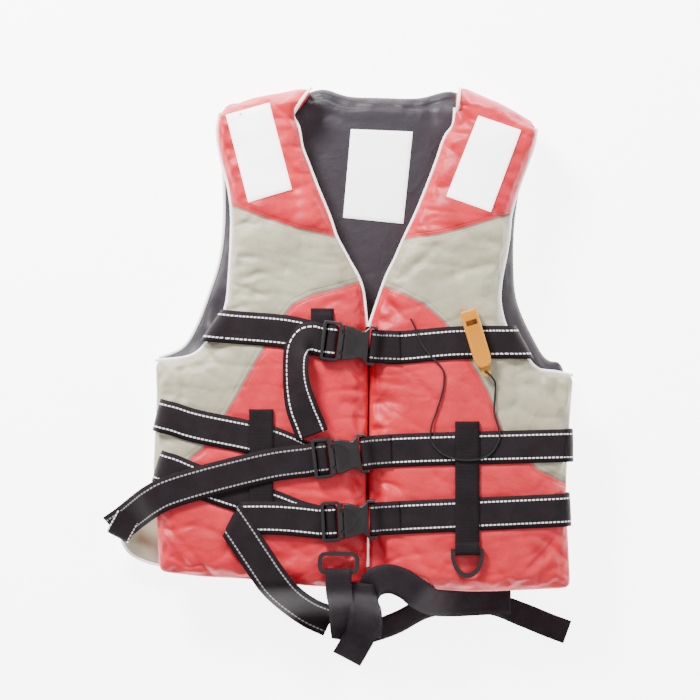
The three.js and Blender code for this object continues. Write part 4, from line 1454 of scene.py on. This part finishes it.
class Trims:
    """Piping, patches, label and lanyard."""

    def __init__(self, left: bpy.types.Object, right: bpy.types.Object, back: bpy.types.Object) -> None:
        """Keeps the surfaces that trims lie on.

        Args:
            left: left front cover.
            right: right front cover.
            back: back cover.
        """
        self.surfaces = {name: BVHTree.FromObject(o, bpy.context.evaluated_depsgraph_get())
                         for name, o in (("left", left), ("right", right), ("back", back))}

    def piping(self) -> None:
        """Builds the white piping along the edges."""
        runs = {
            "neck_left": (NECK_LEFT, "piping_neck_left"), "neck_right": (NECK_RIGHT, "piping_neck_right"),
            "arm_left": (ARM_LEFT, "piping_arm_left"), "arm_right": (ARM_RIGHT, "piping_arm_right"),
            "centre_left": ([(2.2, -262), (3.4, -246), (3.2, -234), (2.4, -226)], None),
        }
        for name, (run, node) in runs.items():
            points = offset_line(catmull(run, 14 * len(run)) * MM, 0.0008)
            z = 0.0665 + 0.0008 * np.sin(np.arange(len(points)) * 0.21)
            obj = tube(f"piping_line_{name}", np.column_stack([points, z]), PIPING, "piping")
            settle(obj, "jacket", "white_trim", *([node] if node else []))
        for side in Side:
            points = []
            sign = 1 if side is Side.LEFT else -1
            for across in np.cos(np.linspace(math.radians(146), math.radians(8), 26)):
                p = roll_point(side, 1.0, across)
                high = ROLL_MIDDLE + (ROLL_HALF - 0.0016) * math.sqrt(max(0.0, 1 - across * across))
                points.append((p[0] - sign * 0.0009, p[1] - 0.0008, high))
            obj = tube(f"piping_line_roll_{side.value}", np.array(points), PIPING, "piping")
            settle(obj, "jacket", "white_trim")
        for name, run in (("back_left", BACK_ARM_LEFT), ("flap", FLAP[2:])):
            points = offset_line(catmull(run, 12 * len(run)) * MM, 0.0008)
            level = np.full(len(points), BACK_SEAM)
            obj = tube(f"piping_line_{name}", np.column_stack([points, level]), PIPING, "piping")
            settle(obj, "jacket", "white_trim")

    def patch(self, name: str, corners: list[Point], surface: str, finish: str, node: str, slot: str) -> None:
        """Lays a flat patch on a cover.

        Args:
            name: the piece's name.
            corners: its corners in millimetres, anticlockwise.
            surface: which cover it lies on.
            finish: its finish.
            node: CAD node it stands for.
            slot: name of a material slot, handed on to settle and not used there.
        """
        c = np.array(corners, float) * MM
        bm = bmesh.new()
        bmesh.ops.create_grid(bm, x_segments=14, y_segments=20, size=0.5)
        for v in bm.verts:
            s, t = v.co.x + 0.5, v.co.y + 0.5
            p = (c[0] * (1 - s) + c[1] * s) * (1 - t) + (c[3] * (1 - s) + c[2] * s) * t
            hit = self.surfaces[surface].ray_cast(Vector((p[0], p[1], 0.3)), Vector((0, 0, -1)))[0]
            v.co = Vector((p[0], p[1], (hit.z if hit else FRONT_TOP) + 0.0009))
        for _ in range(4):
            bmesh.ops.smooth_vert(bm, verts=[v for v in bm.verts if not v.is_boundary], factor=0.4,
                                  use_axis_x=False, use_axis_y=False, use_axis_z=True)
        obj = make_object(name, bm, finish)
        solid = obj.modifiers.new("solid", "SOLIDIFY")
        solid.thickness = 0.0008
        solid.offset = 0
        bake(obj)
        settle(obj, "jacket", slot, node)

    def lanyard(self) -> None:
        """Builds the cord that holds the whistle."""
        on_panel, on_belt, on_keeper, eye = 87.7, 88.55, 90.4, 96.4
        route = [(53, 24, on_panel), (56, 18, on_belt + 0.4), (66, -6, on_belt), (77, -20, on_belt),
                 (83, -26, on_belt), (91, -38, on_panel), (90, -58, on_panel), (83, -82, on_panel),
                 (77, -99, on_belt + 0.3), (76, -116, on_belt), (87, -130, on_belt), (102, -137, on_keeper),
                 (118, -139, on_keeper), (134, -137, on_keeper), (147, -129, on_belt), (155, -113, on_belt),
                 (153, -99, on_belt + 0.3), (149, -84, on_panel), (150, -62, on_panel), (150, -50, on_panel + 2),
                 (147, -44.5, eye - 1), (144.5, -41.5, eye + 1.9), (141.5, -38.5, eye + 2.7),
                 (139.5, -37, eye + 1), (139.5, -37, eye - 2), (139.5, -37, eye - 4.4)]
        points = catmull(route, 240) * MM
        obj = tube("cord_lanyard", points, CORD / 2, "cord")
        settle(obj, "jacket", "cord", "whistle_lanyard")

    def build(self) -> None:
        """Builds every trim."""
        self.piping()
        self.patch("tape_left", [(-134, 158), (-84, 173), (-110, 273), (-160, 259)], "left", "patch",
                   "reflective_patch_left", "reflective")
        self.patch("tape_right", [(94, 165), (145, 147), (180, 241), (131, 258)], "right", "patch",
                   "reflective_patch_right", "reflective")
        self.patch("label_neck", [(-25, 142), (45, 135), (56, 242), (-16, 245)], "back", "label", "neck_label",
                   "white_trim")
        self.lanyard()


class Fittings:
    """Moulded parts that the frame already gives their shape."""

    def build(self) -> None:
        """Gives the moulded parts their finish."""
        for name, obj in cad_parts.items():
            if name.startswith("buckle") or name in ("d_ring", "crotch_ring"):
                self.dress(obj, "plastic")
            elif name == "whistle":
                self.dress(obj, "whistle")

    @staticmethod
    def dress(obj: bpy.types.Object, finish: str) -> None:
        """Sets one finish on a part.

        Args:
            obj: the part.
            finish: the finish's key.
        """
        obj.data.materials.clear()
        obj.data.materials.append(Wardrobe.get(finish))
        LOG.info("dressed %s", obj.name)


class Studio:
    """Floor, light and camera."""

    def build(self) -> None:
        """Builds the stage."""
        bm = bmesh.new()
        bmesh.ops.create_grid(bm, x_segments=1, y_segments=1, size=4)
        bmesh.ops.translate(bm, verts=bm.verts[:], vec=(0, 0, -0.0006))
        floor = make_object("floor", bm)
        material = bpy.data.materials.new("pale_floor")
        material.use_nodes = True
        shader = material.node_tree.nodes["Principled BSDF"]
        shader.inputs["Base Color"].default_value = (0.95, 0.95, 0.95, 1)
        shader.inputs["Roughness"].default_value = 0.9
        shader.inputs["Emission Color"].default_value = (1, 1, 1, 1)
        shader.inputs["Emission Strength"].default_value = 5.5
        floor.data.materials.append(material)
        world = bpy.context.scene.world or bpy.data.worlds.new("world")
        bpy.context.scene.world = world
        world.use_nodes = True
        back = world.node_tree.nodes["Background"]
        back.inputs[0].default_value = (1, 1, 1, 1)
        back.inputs[1].default_value = 0.75
        self.lamp("key", (-0.75, 1.25, 1.15), 0.55, 92)
        self.lamp("fill", (1.3, 0.3, 1.5), 1.4, 16)
        camera = bpy.data.cameras.new("camera")
        camera.lens = LENS
        camera.sensor_width = 36
        obj = bpy.data.objects.new("camera", camera)
        bpy.context.scene.collection.objects.link(obj)
        obj.location = (-0.017, -0.012, BUCKLE_Z + VIEW_SPAN * LENS / camera.sensor_width)
        bpy.context.scene.camera = obj
        LOG.info("stage ready")

    @staticmethod
    def lamp(name: str, place: tuple[float, float, float], size: float, power: float) -> None:
        """Adds a soft lamp that looks at the jacket.

        Args:
            name: its name.
            place: its place.
            size: its size.
            power: its power in watts.
        """
        data = bpy.data.lights.new(name, "AREA")
        data.shape = "DISK"
        data.size = size
        data.energy = power
        obj = bpy.data.objects.new(name, data)
        obj.location = place
        obj.rotation_euler = (-Vector(place)).to_track_quat("-Z", "Y").to_euler()
        bpy.context.scene.collection.objects.link(obj)


class LifeJacket:
    """The whole jacket."""

    def build(self) -> None:
        """Builds every piece."""
        left = FrontCover("cover_front_left", outline(NECK_LEFT, ARM_LEFT, SIDE_LEFT[1:-1], HEM_LEFT,
                                                      CENTRE_LEFT[1:-1]),
                          FRONT_BASE, 0.0845, (Side.LEFT,), side=Side.LEFT).finish()
        right = FrontCover("cover_front_right", outline(HEM_RIGHT, SIDE_RIGHT[1:-1], ARM_RIGHT, NECK_RIGHT,
                                                        CENTRE_RIGHT[1:-1]),
                           FRONT_BASE, 0.0845, (Side.RIGHT,), side=Side.RIGHT).finish()
        back = BackCover("cover_back", outline(COLLAR, BACK_ARM_LEFT, FLAP, BACK_HEM[1:-1], BACK_RIGHT),
                         0.0, 0.0375).finish()
        StrapSet().build()
        Trims(left, right, back).build()
        Fittings().build()
        Studio().build()


def main() -> None:
    """Builds the scene."""
    LifeJacket().build()


if __name__ == "__main__":
    main()
